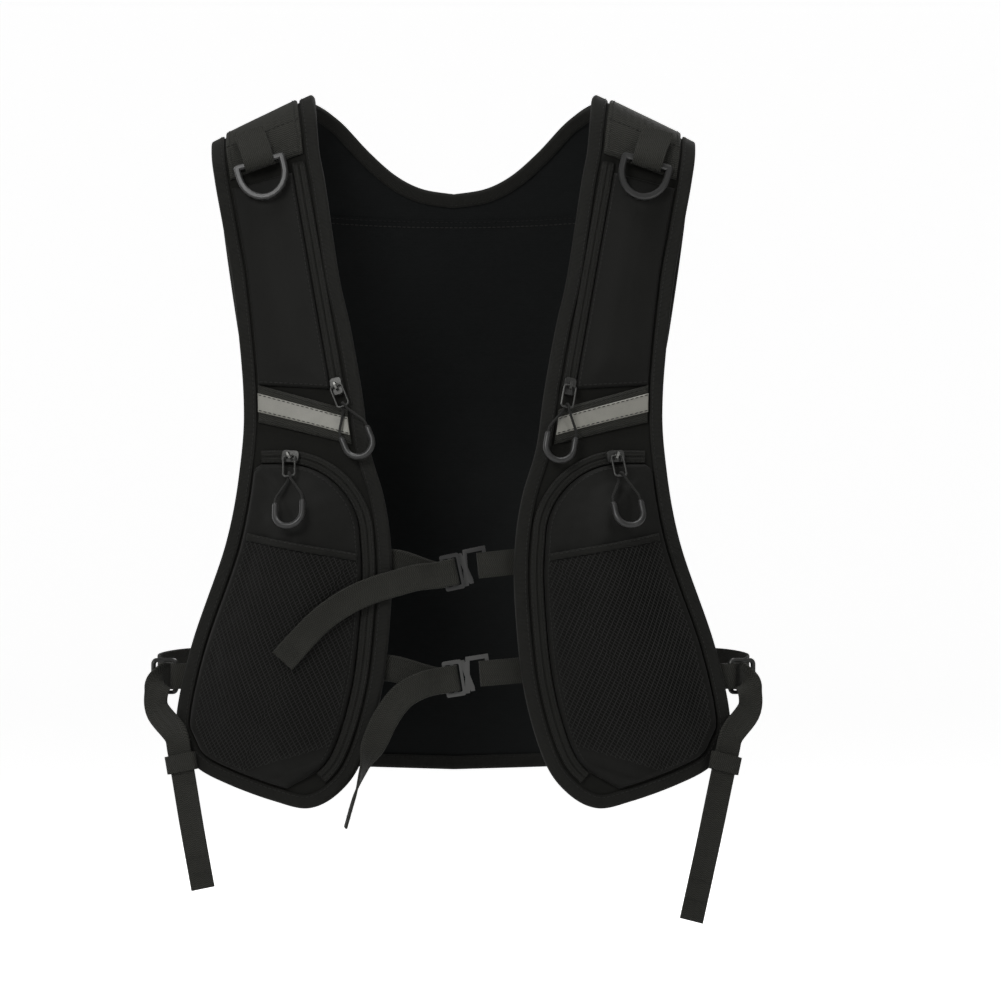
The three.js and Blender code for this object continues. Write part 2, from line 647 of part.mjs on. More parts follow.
// Two layers of webbing sewn together, with an eye at one end that holds a bar.
// Its outline is in the XY plane, with its eye at the origin and its tail towards +X.
// The tail steps back by a distance, all of it within the given length from the eye.
function webbingLoop(length, eye, depth, width, stepBack = 0, stepWithin = length) {
  const half = depth / 2 + STRAP_THICK;
  const neck = eye / 2 + half + 1;
  const outline = new THREE.Shape();
  outline.moveTo(-eye / 2 - STRAP_THICK + half, -half);
  outline.lineTo(eye / 2 + 1, -half);
  outline.lineTo(neck, -STRAP_THICK);
  outline.lineTo(stepWithin, -STRAP_THICK - stepBack);
  outline.lineTo(length + 0.1, -STRAP_THICK - stepBack);
  outline.lineTo(length + 0.1, STRAP_THICK - stepBack);
  outline.lineTo(stepWithin, STRAP_THICK - stepBack);
  outline.lineTo(neck, STRAP_THICK);
  outline.lineTo(eye / 2 + 1, half);
  outline.lineTo(-eye / 2 - STRAP_THICK + half, half);
  outline.absarc(-eye / 2 - STRAP_THICK + half, 0, half, Math.PI / 2, Math.PI * 1.5);
  const hole = roundedRect(new THREE.Path(), -eye / 2, -depth / 2, eye / 2, depth / 2, depth / 2 - 0.2);
  outline.holes.push(hole);
  return plate(outline, width, 0, 4);
}

const hinges = {};
const faces = {};

function frontHalf(hand, side) {
  const place = (x, reach, height) => onFront(hand * x, reach, height);
  add(`${side}_front_panel`, slab([panelRows], place, 0, PANEL_THICK), PANEL_CLOTH);
  add(`${side}_edge_binding`, strip(frontPath, place, bindingSection(PANEL_THICK)), BINDING_CLOTH);

  const tape = boxSection(-TAPE_WIDTH / 2, TAPE_WIDTH / 2, LAYER_LOW, LAYER_LOW + TAPE_THICK);
  add(`${side}_strap_zip_tape`, strip(strapZip, place, tape), TAPE_CLOTH);
  add(`${side}_pocket_zip_tape`, strip(pocketZip, place, tape), TAPE_CLOTH);

  const strapRows = rowsBetween(strapPocketInner, strapPocketOuter, [0, 0.07, 0.2, 0.4, 0.6, 0.8, 0.93, 1]);
  add(`${side}_strap_pocket`, slab([strapRows], place, LAYER_LOW, strapPocketTop), PANEL_CLOTH);

  const pocketRows = upperRows.concat(lowerRows.slice(1));
  add(`${side}_cargo_pocket`, slab([pocketRows], place, LAYER_LOW, pocketTop), PANEL_CLOTH);
  const meshLow = (p) => pocketTop(p) + MESH_GAP;
  const meshHigh = (p) => pocketTop(p) + MESH_GAP + MESH_THICK;
  add(`${side}_mesh_pocket`, slab([meshRows], place, meshLow, meshHigh), MESH_CLOTH);
}

function shoulderParts(hand, side) {
  const place = (x, reach, height) => onFront(hand * x, reach, height);
  const fromAlong = -SEAM_BEHIND + 4;
  const innerTop = innerSide.findIndex((p) => p.y + ridge(p.x) >= fromAlong);
  const outerTop = outerSide.findIndex((p) => p.y + ridge(p.x) >= fromAlong);
  const innerLow = nearestIndex(innerSide, strapZip[0]) - 3;
  const outerLow = nearestIndex(outerSide, strapPocketOuter[0]) - 2;
  const inner = resample(innerSide.slice(innerTop, innerLow), evenly(9));
  const outer = resample(outerSide.slice(outerTop, outerLow), evenly(9));
  const rows = rowsBetween(inner, outer, evenly(5));
  add(`${side}_shoulder_webbing`, slab([rows], place, LAYER_LOW, LAYER_LOW + WEB_THICK), WEBBING);
}

function reflector(hand, side) {
  const place = (x, reach, height) => onFront(hand * x, reach, height);
  const band = (above, below) => {
    const inner = stretch(innerSide, levelled(REFLECTOR_IN - above), levelled(REFLECTOR_IN - below), [0, 1]);
    const [high, low] = [levelled(REFLECTOR_OUT - above), levelled(REFLECTOR_OUT - below)];
    const outer = stretch(outerSide, high, low, [0, 1]);
    return [rowsBetween(inner, outer, evenly(6))];
  };
  const top = LAYER_LOW + WEB_THICK;
  add(`${side}_reflector_webbing`, slab(band(0, WEB_WIDTH), place, LAYER_LOW, top), WEBBING);
  const margin = (WEB_WIDTH - STRIP_WIDTH) / 2;
  const strips = band(margin, margin + STRIP_WIDTH);
  const low = top + STRIP_GAP;
  add(`${side}_reflective_strip`, slab(strips, place, low, low + STRIP_THICK), REFLECTIVE);
}

// ---------------------------------------------------------------- hardware
const place3 = (frame, x, y, z) => new THREE.Vector3(x, y, z).applyMatrix4(frame);
const axisOf = (frame, x, y, z) => new THREE.Vector3(x, y, z).transformDirection(frame);

// Axes from a point, an exact upward direction and a rough outward one.
function frameOf(at, up, out) {
  const y = up.clone().normalize();
  const z = out.clone().addScaledVector(y, -out.dot(y)).normalize();
  return new THREE.Matrix4().makeBasis(y.clone().cross(z), y, z).setPosition(at);
}

// Stands an outline on edge: its x becomes up, its y becomes out, and its thickness runs across.
const ON_EDGE = new THREE.Matrix4().makeBasis(
  new THREE.Vector3(0, 1, 0),
  new THREE.Vector3(0, 0, 1),
  new THREE.Vector3(1, 0, 0),
);

function dringShape() {
  const half = DRING_WIDTH / 2;
  const top = DRING_STOCK / 2;
  const leg = 6;
  const drop = DRING_HEIGHT - top - leg;
  const shape = new THREE.Shape();
  shape.moveTo(-half, -leg);
  shape.absellipse(0, -leg, half, drop, Math.PI, Math.PI * 2);
  shape.lineTo(half, top - 2.5);
  shape.absarc(half - 2.5, top - 2.5, 2.5, 0, Math.PI / 2);
  shape.lineTo(-half + 2.5, top);
  shape.absarc(-half + 2.5, top - 2.5, 2.5, Math.PI / 2, Math.PI);
  const inner = half - DRING_STOCK;
  const hole = new THREE.Path();
  hole.moveTo(-inner, -leg);
  hole.absellipse(0, -leg, inner, drop - DRING_STOCK, Math.PI, Math.PI * 2);
  hole.lineTo(inner, -top);
  hole.lineTo(-inner, -top);
  shape.holes.push(hole);
  return shape;
}

function bendOntoFront(geometry, hand, at, turn) {
  const position = geometry.attributes.position;
  for (let i = 0; i < position.count; i++) {
    const [a, b, c] = [position.getX(i), position.getY(i), position.getZ(i)];
    const x = hand * at.x + a * Math.cos(turn) - b * Math.sin(turn);
    const reach = at.y - a * Math.sin(turn) - b * Math.cos(turn);
    position.setXYZ(i, ...onFront(x, reach, c).toArray());
  }
  return geometry;
}

const DRING_BAR_HEIGHT = 9.6;
const TAB_LENGTH = 16;

function shoulderRing(hand, side) {
  const at = frontAt(graded(...DRING_AT));
  const turn = -hand * DRING_TILT;
  const frame = frameAt(hand, at.x, at.y, DRING_BAR_HEIGHT, turn);
  const eye = DRING_STOCK + 2 * DRING_PLAY;
  const tab = webbingLoop(TAB_LENGTH, eye, eye, WEB_WIDTH - 3).applyMatrix4(ON_EDGE);
  tab.translate(0, 0, DRING_BAR_HEIGHT);
  add(`${side}_dring_tab`, bendOntoFront(tab, hand, at, turn), WEBBING);
  const ring = groupAt(frame.clone().multiply(new THREE.Matrix4().makeRotationX(-DRING_LEAN)));
  add(`${side}_shoulder_dring`, plate(dringShape(), DRING_STOCK, 0.8, 6), PLASTIC, ring);
  hinges[`${side}_dring`] = { at: place3(frame, 0, 0, 0), axis: axisOf(frame, -1, 0, 0) };
  const low = new THREE.Vector3(0, DRING_STOCK - DRING_HEIGHT, DRING_STOCK / 2);
  faces[`${side}_dring_face`] = {
    at: low.clone().applyMatrix4(ring.matrix),
    axis: axisOf(ring.matrix, 0, 0, 1),
  };
}

function insidePath(path, p) {
  let inside = false;
  for (let i = 0, j = path.length - 1; i < path.length; j = i++) {
    const [a, b] = [path[i], path[j]];
    if (a.y > p.y !== b.y > p.y && p.x < ((b.x - a.x) * (p.y - a.y)) / (b.y - a.y) + a.x) inside = !inside;
  }
  return inside;
}

// Height of the uppermost layer on the front.
function frontTop(p) {
  if (insidePath(pocketEdge, p)) return pocketTop(p) + MESH_GAP + MESH_THICK;
  return LAYER_LOW + WEB_THICK + STRIP_GAP + STRIP_THICK;
}

// A slider's plate lies along its zip (its own Y). Its arch holds the pull's ring.
function sliderGeometry(archTurn) {
  const half = SLIDER_WIDTH / 2;
  const outline = roundedRect(new THREE.Shape(), -half, -SLIDER_LENGTH / 2, half, SLIDER_LENGTH / 2, 2);
  const base = plate(outline, SLIDER_PLATE, 0, 3).translate(0, 0, SLIDER_LIFT + SLIDER_PLATE / 2);
  const archHalf = PIN_HOLE / 2 + ARCH_WALL;
  const low = SLIDER_LIFT + SLIDER_PLATE - 0.3;
  const holeLow = SLIDER_LIFT + SLIDER_PLATE + ARCH_LIFT;
  const arch = roundedRect(new THREE.Shape(), -archHalf, low, archHalf, holeLow + PIN_HOLE + ARCH_WALL, 0.2);
  const hole = new THREE.Path();
  arch.holes.push(roundedRect(hole, -PIN_HOLE / 2, holeLow, PIN_HOLE / 2, holeLow + PIN_HOLE, 0.2));
  const bridge = plate(arch, ARCH_WIDTH, 0, 1).applyMatrix4(ON_EDGE).rotateZ(archTurn);
  return joined(base, bridge);
}
const PIN_HEIGHT = SLIDER_LIFT + SLIDER_PLATE + ARCH_LIFT + PIN_HOLE / 2;

// The pull hangs down its frame's -Y from a pin at the origin.
function pull(name, frame) {
  const group = groupAt(frame);
  const half = RING_WIDTH / 2;
  const top = WIRE / 2;
  const low = top - RING_LENGTH;
  const wire = roundedRect(new THREE.Shape(), -half, low, half, top, 2.2);
  wire.holes.push(roundedRect(new THREE.Path(), -half + WIRE, low + WIRE, half - WIRE, top - WIRE, 1));
  add(`${name}_ring`, plate(wire, WIRE, 0, 3), METAL, group);

  const wireAt = low + WIRE / 2;
  const clear = WIRE / 2 + CORD_DIAMETER / 2 + 0.5;
  const end = wireAt - CORD_LENGTH;
  const halfLoop = [
    [0, wireAt + clear, 0],
    [0.8, wireAt + 0.3, clear],
    [1.5, wireAt - 2.2, clear + 0.1],
    [4.8, wireAt - 8, 0.9],
    [GRIP_HALF - 0.4, end + 3, 0.1],
    [GRIP_HALF, end, 0],
  ];
  const mirrored = halfLoop.map(([x, y, z]) => [-x, y, -z]).reverse().slice(0, -1);
  const loop = [...mirrored, ...halfLoop].map((p) => new THREE.Vector3(...p));
  add(`${name}_cord`, rodAlong(loop, CORD_DIAMETER, 3, 22), CORD_CLOTH, group);

  const legTop = end - 0.4;
  const bend = evenly(6).map((t) => {
    const angle = Math.PI * (1 + t);
    return [GRIP_HALF * Math.cos(angle), legTop - GRIP_LEG + GRIP_HALF * Math.sin(angle), 0];
  });
  const grip = [[-GRIP_HALF, legTop, 0], ...bend, [GRIP_HALF, legTop, 0]].map((p) => new THREE.Vector3(...p));
  add(`${name}_grip`, rodAlong(grip, GRIP_DIAMETER, 4, 14), PLASTIC, group);
}

// The frame of a pull that hangs from a pin, leaning to one side, clear of all that lies under it.
function hangFrom(pin, out, leanDegrees) {
  const lean = THREE.MathUtils.degToRad(leanDegrees);
  let slope = 0;
  for (const reach of [12, 18, 24, 30, 36, 42, 48]) {
    const half = reach > RING_LENGTH * 2 ? GRIP_HALF : RING_WIDTH / 2;
    for (const aside of [-half, 0, half]) {
      const x = pin.x + reach * Math.sin(lean) + aside * Math.cos(lean);
      const z = pin.z - reach * Math.cos(lean) + aside * Math.sin(lean);
      const under = frontAt([Math.abs(x), z]);
      const clear = onFront(x, under.y, frontTop(under) + PULL_CLEAR);
      slope = Math.max(slope, (pin.y - clear.y) / reach);
    }
  }
  return frameOf(pin, new THREE.Vector3(-Math.sin(lean), slope, Math.cos(lean)), out);
}

const TAPE_TOP = LAYER_LOW + TAPE_THICK;

function strapSlider(hand, side) {
  const [top, end] = strapZipEnds;
  const at = onFront(hand * end.x, end.y, TAPE_TOP);
  const high = onFront(hand * top.x, top.y, TAPE_TOP);
  const frame = frameOf(at, high.clone().sub(at), outward(hand * end.x, end.y + ridge(end.x)));
  const pin = place3(frame, 0, 0, PIN_HEIGHT);
  const hang = hangFrom(pin, axisOf(frame, 0, 0, 1), PULL_LEAN[`${side}_strap`]);
  const hangUp = axisOf(hang, 0, 1, 0).transformDirection(frame.clone().invert());
  add(`${side}_strap_slider`, sliderGeometry(Math.atan2(-hangUp.x, hangUp.y)), METAL, groupAt(frame));
  pull(`${side}_strap_pull`, hang);
  const upZip = high.clone().sub(at).normalize();
  hinges[`${side}_strap_slider`] = { at, axis: upZip, travel: high.distanceTo(at) };
  hinges[`${side}_strap_pull`] = { at: pin, axis: axisOf(hang, -1, 0, 0) };
}

// The centre and axis of the circle through three points.
function circleThrough(a, b, c) {
  const ab = b.clone().sub(a);
  const ac = c.clone().sub(a);
  const axis = ab.clone().cross(ac);
  const toCentre = axis.clone().cross(ab).multiplyScalar(ac.lengthSq());
  toCentre.add(ac.clone().cross(axis).multiplyScalar(ab.lengthSq()));
  toCentre.divideScalar(2 * axis.lengthSq());
  return { centre: a.clone().add(toCentre), axis: axis.normalize() };
}

function pocketSlider(hand, side) {
  const onZip = (angle) => {
    const x = cornerCentre.x - POCKET_CORNER * Math.sin(angle);
    const reach = cornerCentre.y - POCKET_CORNER * Math.cos(angle);
    return { at: onFront(hand * x, reach, TAPE_TOP), out: outward(hand * x, reach + ridge(x)) };
  };
  const start = onZip(SLIDER_START);
  const middle = onZip(SLIDER_START + SLIDER_TRAVEL / 2);
  const end = onZip(SLIDER_START + SLIDER_TRAVEL);
  const round = circleThrough(start.at, middle.at, end.at);
  const ahead = round.axis.clone().cross(start.at.clone().sub(round.centre));
  const frame = frameOf(start.at, ahead, start.out);
  const pin = place3(frame, 0, 0, PIN_HEIGHT);
  const hang = hangFrom(pin, start.out, PULL_LEAN[`${side}_pocket`]);
  const hangUp = axisOf(hang, 0, 1, 0).transformDirection(frame.clone().invert());
  const rest = Math.atan2(-hangUp.x, hangUp.y);
  const archTurn = rest - (hand * SLIDER_TRAVEL) / 2;
  add(`${side}_pocket_slider`, sliderGeometry(archTurn), METAL, groupAt(frame));
  pull(`${side}_pocket_pull`, hang);
  hinges[`${side}_pocket_slider`] = { at: round.centre, axis: round.axis };
  hinges[`${side}_pocket_pull`] = { at: pin, axis: round.axis };
}

// ---------------------------------------------------------------- chest straps
const BEHIND_BINDING = BINDING_PLAY + BINDING_WALL + 0.4;
const BUCKLE_SLOT = (BUCKLE_LENGTH - 3 * BUCKLE_BAR) / 2;
const LOOP_SEWN = 12; // of the loop's webbing behind the panel
const TAIL_LIFT = 1.4; // a tail lies this far off what is under it

function buckleGeometry() {
  const half = BUCKLE_LENGTH / 2;
  const high = BUCKLE_HEIGHT / 2;
  const ladder = roundedRect(new THREE.Shape(), -half, -high, half, high, 1.2);
  for (const left of [-half + BUCKLE_BAR, BUCKLE_BAR / 2]) {
    const opening = new THREE.Path();
    const inner = high - BUCKLE_RAIL;
    ladder.holes.push(roundedRect(opening, left, -inner, left + BUCKLE_SLOT, inner, 0.5));
  }
  const bar = (points) => plate(new THREE.Shape(points.map(([x, y]) => new THREE.Vector2(x, y))), ARM_THICK);
  const root = half - 0.6;
  const shoulder = STRAP_WIDTH / 2 + 1.1;
  const tip = HOOK_REACH - LOOP_EYE / 2 - STRAP_THICK - ARM_GAP;
  const hookArm = bar([
    [root, -high + 0.8],
    [root + ARM_WIDTH * 1.2, -high + 0.8],
    [tip - 0.5, shoulder],
    [HOOK_REACH + HOOK_BAR / 2, shoulder],
    [HOOK_REACH + HOOK_BAR / 2, shoulder + ARM_WIDTH],
    [tip - 2.5, shoulder + ARM_WIDTH],
  ]);
  const hook = bar([
    [HOOK_REACH - HOOK_BAR / 2, -STRAP_WIDTH / 2 + 0.6],
    [HOOK_REACH + HOOK_BAR / 2, -STRAP_WIDTH / 2 + 0.6],
    [HOOK_REACH + HOOK_BAR / 2, shoulder + ARM_WIDTH / 2],
    [HOOK_REACH - HOOK_BAR / 2, shoulder + ARM_WIDTH / 2],
  ]);
  const crossArm = bar([
    [root, high - 0.8 - ARM_WIDTH * 1.2],
    [tip - ARM_WIDTH, -shoulder],
    [tip, -shoulder],
    [tip, -shoulder + ARM_WIDTH],
    [root + ARM_WIDTH, high - 0.8],
    [root, high - 0.8],
  ]);
  return joined(plate(ladder, BUCKLE_THICK, 0, 2), hookArm, hook, crossArm);
}

const edgeAtLevel = (z) =>
  stretch(OUTLINE_DENSE.slice(0, HEM_MIDDLE * 20 + 1), levelled(z), -Infinity, [0])[0];

// The webbing's way round the ladder's middle bar, in the buckle's own x and z.
function hairpin() {
  const radius = BUCKLE_THICK / 2 + STRAP_PLAY + STRAP_THICK / 2;
  const centre = BUCKLE_BAR / 2 + BUCKLE_SLOT / 2 - radius;
  const bend = evenly(6).map((t) => {
    const angle = Math.PI * (t - 0.5);
    return [centre + radius * Math.cos(angle), radius * Math.sin(angle)];
  });
  const end = -BUCKLE_LENGTH / 2 - 3;
  return [[end, -radius], [-3, -radius], ...bend, [-3, radius], [end, radius]];
}

function chestStrap({ name, anchor, buckle, tilt, tail, edgeOn }) {
  const edge = edgeAtLevel(anchor);
  const [buckleX, buckleZ] = graded(...buckle);
  const depth = onFront(edge.x, edge.y, 0).y;
  const up = new THREE.Vector3(0, 0, 1);
  const turned = (degrees) => new THREE.Matrix4().makeRotationZ(THREE.MathUtils.degToRad(degrees));
  const upright = frameOf(new THREE.Vector3(buckleX, depth, buckleZ), up, new THREE.Vector3(0, -1, 0));
  const frame = upright.multiply(turned(tilt));
  add(`${name}_chest_buckle`, buckleGeometry(), PLASTIC, groupAt(frame));

  const tilted = axisOf(frame, 0, 1, 0);
  const behind = -BEHIND_BINDING - STRAP_THICK / 2;
  const stations = [14, 6, -3].map((x) => ({ at: onFront(-edge.x - x, edge.y, behind), across: up }));
  for (const [x, z] of hairpin()) stations.push({ at: place3(frame, x, 0, z), across: tilted });
  const points = tail.map(([x, z]) => graded(x, z));
  points.forEach(([x, z], i) => {
    const [fromX, fromZ] = i ? points[i - 1] : [buckleX, buckleZ];
    const run = new THREE.Vector2(x - fromX, z - fromZ).normalize();
    const drape = (share) => {
      const sideX = x + (share * run.y * STRAP_WIDTH) / 2;
      const sideZ = z - (share * run.x * STRAP_WIDTH) / 2;
      const p = frontAt([Math.abs(sideX), sideZ]);
      return onFront(sideX, p.y, frontTop(p) + TAIL_LIFT + STRAP_THICK / 2);
    };
    const [low, middle, high] = [-1, 0, 1].map(drape);
    const at = middle.clone();
    at.y = Math.min(middle.y, (low.y + high.y) / 2);
    const twist = edgeOn ? THREE.MathUtils.smoothstep(i, 2, points.length - 2) : 0;
    const edgeways = new THREE.Vector3(0.1, -0.98, 0.1);
    stations.push({ at, across: high.sub(low).normalize().lerp(edgeways, twist).normalize() });
  });
  add(`${name}_chest_strap`, ribbon(stations, STRAP_WIDTH, STRAP_THICK, 2), WEBBING);
  hinges[`${name}_chest_strap`] = {
    at: onFront(-edge.x, edge.y, behind),
    axis: new THREE.Vector3(0, -1, 0),
  };

  const hookAt = place3(frame, HOOK_REACH, 0, 0);
  const level = frontAt([edge.x, hookAt.z]).y;
  const sewn = onFront(edge.x + LOOP_SEWN, frontAt([edge.x + LOOP_SEWN, hookAt.z]).y, 0);
  const along = sewn.sub(onFront(edge.x, level, 0)).setZ(0).normalize();
  const ahead = along.clone().cross(up);
  const loopFrame = new THREE.Matrix4().makeBasis(along, ahead, up.clone().negate()).setPosition(hookAt);
  const toEdge = edge.x - hookAt.x;
  const stepBack = BEHIND_BINDING + STRAP_THICK;
  const loop = webbingLoop(
    toEdge + LOOP_SEWN, LOOP_EYE, LOOP_EYE_DEPTH, STRAP_WIDTH - 0.6, stepBack, toEdge - 2,
  );
  loop.rotateY(THREE.MathUtils.degToRad(tilt / 2));
  add(`${name}_chest_loop`, loop, WEBBING, groupAt(loopFrame));
}

// ---------------------------------------------------------------- side adjusters
function sideAdjuster(hand, side) {
  const level = levelled(SIDE_LEVEL);
  const edge = stretch(OUTLINE_DENSE.slice(HEM_MIDDLE * 20).reverse(), level, -Infinity, [0])[0];
  const up = new THREE.Vector3(0, 0, 1);
  const atEdge = onFront(hand * edge.x, edge.y, -BEHIND_BINDING - STRAP_THICK);
  const frame = frameOf(atEdge, up, outward(hand * edge.x, edge.y + ridge(edge.x)));
  const bar = place3(frame, hand * SIDE_RING_OUT, 0, 0);
  const away = axisOf(frame, hand, 0, 0);
  const facing = axisOf(frame, 0, 0, 1);
  const inward = away.clone().negate();
  const tabFrame = new THREE.Matrix4().makeBasis(inward, facing, inward.clone().cross(facing));
  tabFrame.setPosition(bar);
  const eye = SIDE_RING_STOCK + 1.2;
  const tab = webbingLoop(SIDE_TAB_LENGTH, eye, eye, STRAP_WIDTH - 0.6);
  add(`${side}_side_tab`, tab, WEBBING, groupAt(tabFrame));

  const half = SIDE_RING_STOCK / 2;
  const high = SIDE_RING_HEIGHT / 2;
  const ring = roundedRect(new THREE.Shape(), -half, -high, SIDE_RING_WIDTH - half, high, 3.5);
  const hole = new THREE.Path();
  ring.holes.push(roundedRect(hole, half, -high + 2.2, SIDE_RING_WIDTH - 3 * half, high - 2.2, 1.5));
  const ringFrame = new THREE.Matrix4().makeBasis(away, up, away.clone().cross(up)).setPosition(bar);
  add(`${side}_side_ring`, plate(ring, SIDE_RING_STOCK, 0.5, 3), METAL, groupAt(ringFrame));
  hinges[`${side}_side_ring`] = { at: bar, axis: up.clone().multiplyScalar(hand) };

  const through = bar.clone().addScaledVector(away, SIDE_RING_WIDTH / 2 - half);
  const passing = (ahead, drop) =>
    through.clone().addScaledVector(facing, ahead).add(new THREE.Vector3(0, 0, drop));
  const backEdge = backAt(graded(BACK_STRAP_SEWN, SIDE_LEVEL + 6));
  const onBackAt = (x) => onBack(hand * x, backEdge.y, BACK_THICK + BEHIND_BINDING + STRAP_THICK);
  const keeper = graded(...KEEPER_AT);
  const tailEnd = graded(...SIDE_TAIL_END[side]);
  const low = frontAt(keeper);
  const lean = Math.atan2(tailEnd[0] - keeper[0], keeper[1] - tailEnd[1]);
  const keeperFrame = frameAt(hand, low.x, low.y, KEEPER_HEIGHT, hand * lean);
  const square = axisOf(keeperFrame, hand, 0, 0);
  const reach = Math.hypot(tailEnd[0] - keeper[0], tailEnd[1] - keeper[1]);
  const stations = [
    { at: onBackAt(backEdge.x - 12), across: up },
    { at: onBackAt(backEdge.x + 1), across: up },
    { at: new THREE.Vector3(hand * SIDE_OUT * 0.93, 20, level + 5), across: up },
    { at: new THREE.Vector3(hand * SIDE_OUT, -6, level + 2), across: up },
    { at: passing(-10, 0), across: up },
    { at: passing(-3, 0), across: up },
    { at: passing(3, 0), across: up },
    { at: passing(9, -7), across: up.clone().add(square) },
    { at: passing(9.5, -18), across: square },
    { at: place3(keeperFrame, 0, 16, 0.6), across: square },
    { at: place3(keeperFrame, 0, KEEPER_LENGTH / 2 + 2, 0), across: square },
    { at: place3(keeperFrame, 0, -KEEPER_LENGTH / 2 - 2, 0), across: square },
    { at: place3(keeperFrame, 0, -reach / 2, 0.5), across: square },
    { at: place3(keeperFrame, 0, -reach, 0), across: square },
  ];
  add(`${side}_side_strap`, ribbon(stations, STRAP_WIDTH, STRAP_THICK, 3), WEBBING);

  const wide = STRAP_WIDTH / 2 + KEEPER_PLAY;
  const deep = STRAP_THICK / 2 + KEEPER_PLAY;
  const wall = KEEPER_WALL;
  const band = roundedRect(new THREE.Shape(), -wide - wall, -deep - wall, wide + wall, deep + wall, 1.6);
  band.holes.push(roundedRect(new THREE.Path(), -wide, -deep, wide, deep, 0.6));
  const keeperGroup = groupAt(keeperFrame);
  add(`${side}_tail_keeper`, plate(band, KEEPER_LENGTH, 0, 3).rotateX(Math.PI / 2), WEBBING, keeperGroup);
}

for (const [hand, side] of [[-1, "left"], [1, "right"]]) {
  frontHalf(hand, side);
  shoulderParts(hand, side);
  reflector(hand, side);
  shoulderRing(hand, side);
  strapSlider(hand, side);
  pocketSlider(hand, side);
  sideAdjuster(hand, side);
}
CHEST_STRAPS.forEach(chestStrap);

add("back_panel", slab(backGrids(), onBack, 0, BACK_THICK), LINING_CLOTH);
const backBinding = bindingSection(BACK_THICK);
add("neck_binding", strip(neckPath, onBack, sectionOf(backBinding.map((c) => [-c.x, c.y]))), BINDING_CLOTH);
add("back_edge_binding", strip(backEdgePath, onBack, backBinding), BINDING_CLOTH);

vest.userData = { hinges, faces };

export default vest;
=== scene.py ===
# %% [markdown]
# # A dark utility vest, piece by piece
# The vest hangs as if someone wore it. Its CAD model gives the place of every piece, and the packed
# frame is loaded first. The cloth of the real vest follows a torso, so this lesson writes that torso
# down once as a formula, and lays every soft piece on it: panels, bindings, zips, pockets and webbing.

# %% Load the frame
import json
import math

import bmesh
import bpy
import numpy as np
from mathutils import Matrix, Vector

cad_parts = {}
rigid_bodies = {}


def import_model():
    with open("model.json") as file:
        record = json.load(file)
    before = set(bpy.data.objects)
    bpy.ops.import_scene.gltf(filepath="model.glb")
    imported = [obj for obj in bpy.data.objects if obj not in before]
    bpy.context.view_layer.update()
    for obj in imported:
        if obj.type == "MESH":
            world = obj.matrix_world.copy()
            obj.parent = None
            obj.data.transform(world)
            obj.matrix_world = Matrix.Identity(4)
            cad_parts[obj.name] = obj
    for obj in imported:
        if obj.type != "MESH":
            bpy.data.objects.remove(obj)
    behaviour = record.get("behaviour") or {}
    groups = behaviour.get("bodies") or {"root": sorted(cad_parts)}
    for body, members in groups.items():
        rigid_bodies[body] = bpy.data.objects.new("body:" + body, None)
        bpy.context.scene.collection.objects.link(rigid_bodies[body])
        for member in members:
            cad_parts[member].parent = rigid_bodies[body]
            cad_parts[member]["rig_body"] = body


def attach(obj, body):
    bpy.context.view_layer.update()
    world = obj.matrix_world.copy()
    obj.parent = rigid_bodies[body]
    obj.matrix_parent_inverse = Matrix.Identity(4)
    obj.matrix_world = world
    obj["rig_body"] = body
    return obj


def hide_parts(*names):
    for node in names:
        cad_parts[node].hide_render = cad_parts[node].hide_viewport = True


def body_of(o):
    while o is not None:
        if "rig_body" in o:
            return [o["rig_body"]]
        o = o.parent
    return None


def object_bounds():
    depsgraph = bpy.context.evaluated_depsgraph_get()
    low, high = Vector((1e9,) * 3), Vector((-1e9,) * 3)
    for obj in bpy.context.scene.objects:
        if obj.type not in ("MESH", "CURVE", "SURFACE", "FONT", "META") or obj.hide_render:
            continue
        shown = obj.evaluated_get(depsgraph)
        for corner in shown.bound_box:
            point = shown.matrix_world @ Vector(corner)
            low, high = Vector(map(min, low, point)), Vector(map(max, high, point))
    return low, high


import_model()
cad_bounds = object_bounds()
MM = 0.001
scene = bpy.context.scene

# %% [markdown]
# ## Camera and studio
# A product picture of clothing is taken from far away with a long lens, so that the back of the vest
# is not drawn much smaller than its front. The lights are large and soft, because black cloth shows
# its shape only through broad, gentle highlights.

# %% Camera
VIEW_CENTRE = Vector((0.0268, -0.075, -0.2116))
VIEW_WIDTH = 0.564
camera_data = bpy.data.cameras.new("camera")
camera_data.lens = 400
camera_data.sensor_width = 36
camera_distance = VIEW_WIDTH * camera_data.lens / camera_data.sensor_width
camera_data.clip_end = 60
camera = bpy.data.objects.new("camera", camera_data)
camera.location = VIEW_CENTRE + Vector((0, -camera_distance, 0))
camera.rotation_euler = (math.pi / 2, 0, 0)
scene.collection.objects.link(camera)
scene.camera = camera
print("camera stands", round(camera_distance, 2), "m away")

# %% Floor that sweeps up behind the vest
FLOOR_LEVEL = cad_bounds[0][2] - 0.012


def stage_material():
    material = bpy.data.materials.new("stage_white")
    material.use_nodes = True
    shader = material.node_tree.nodes["Principled BSDF"]
    shader.inputs["Base Color"].default_value = (0.93, 0.93, 0.93, 1)
    shader.inputs["Roughness"].default_value = 0.9
    shader.inputs["Emission Color"].default_value = (1, 1, 1, 1)
    light_path = material.node_tree.nodes.new("ShaderNodeLightPath")
    glow = material.node_tree.nodes.new("ShaderNodeMath")
    glow.operation = "MULTIPLY"
    glow.inputs[1].default_value = 0.85
    material.node_tree.links.new(light_path.outputs["Is Camera Ray"], glow.inputs[0])
    material.node_tree.links.new(glow.outputs[0], shader.inputs["Emission Strength"])
    return material


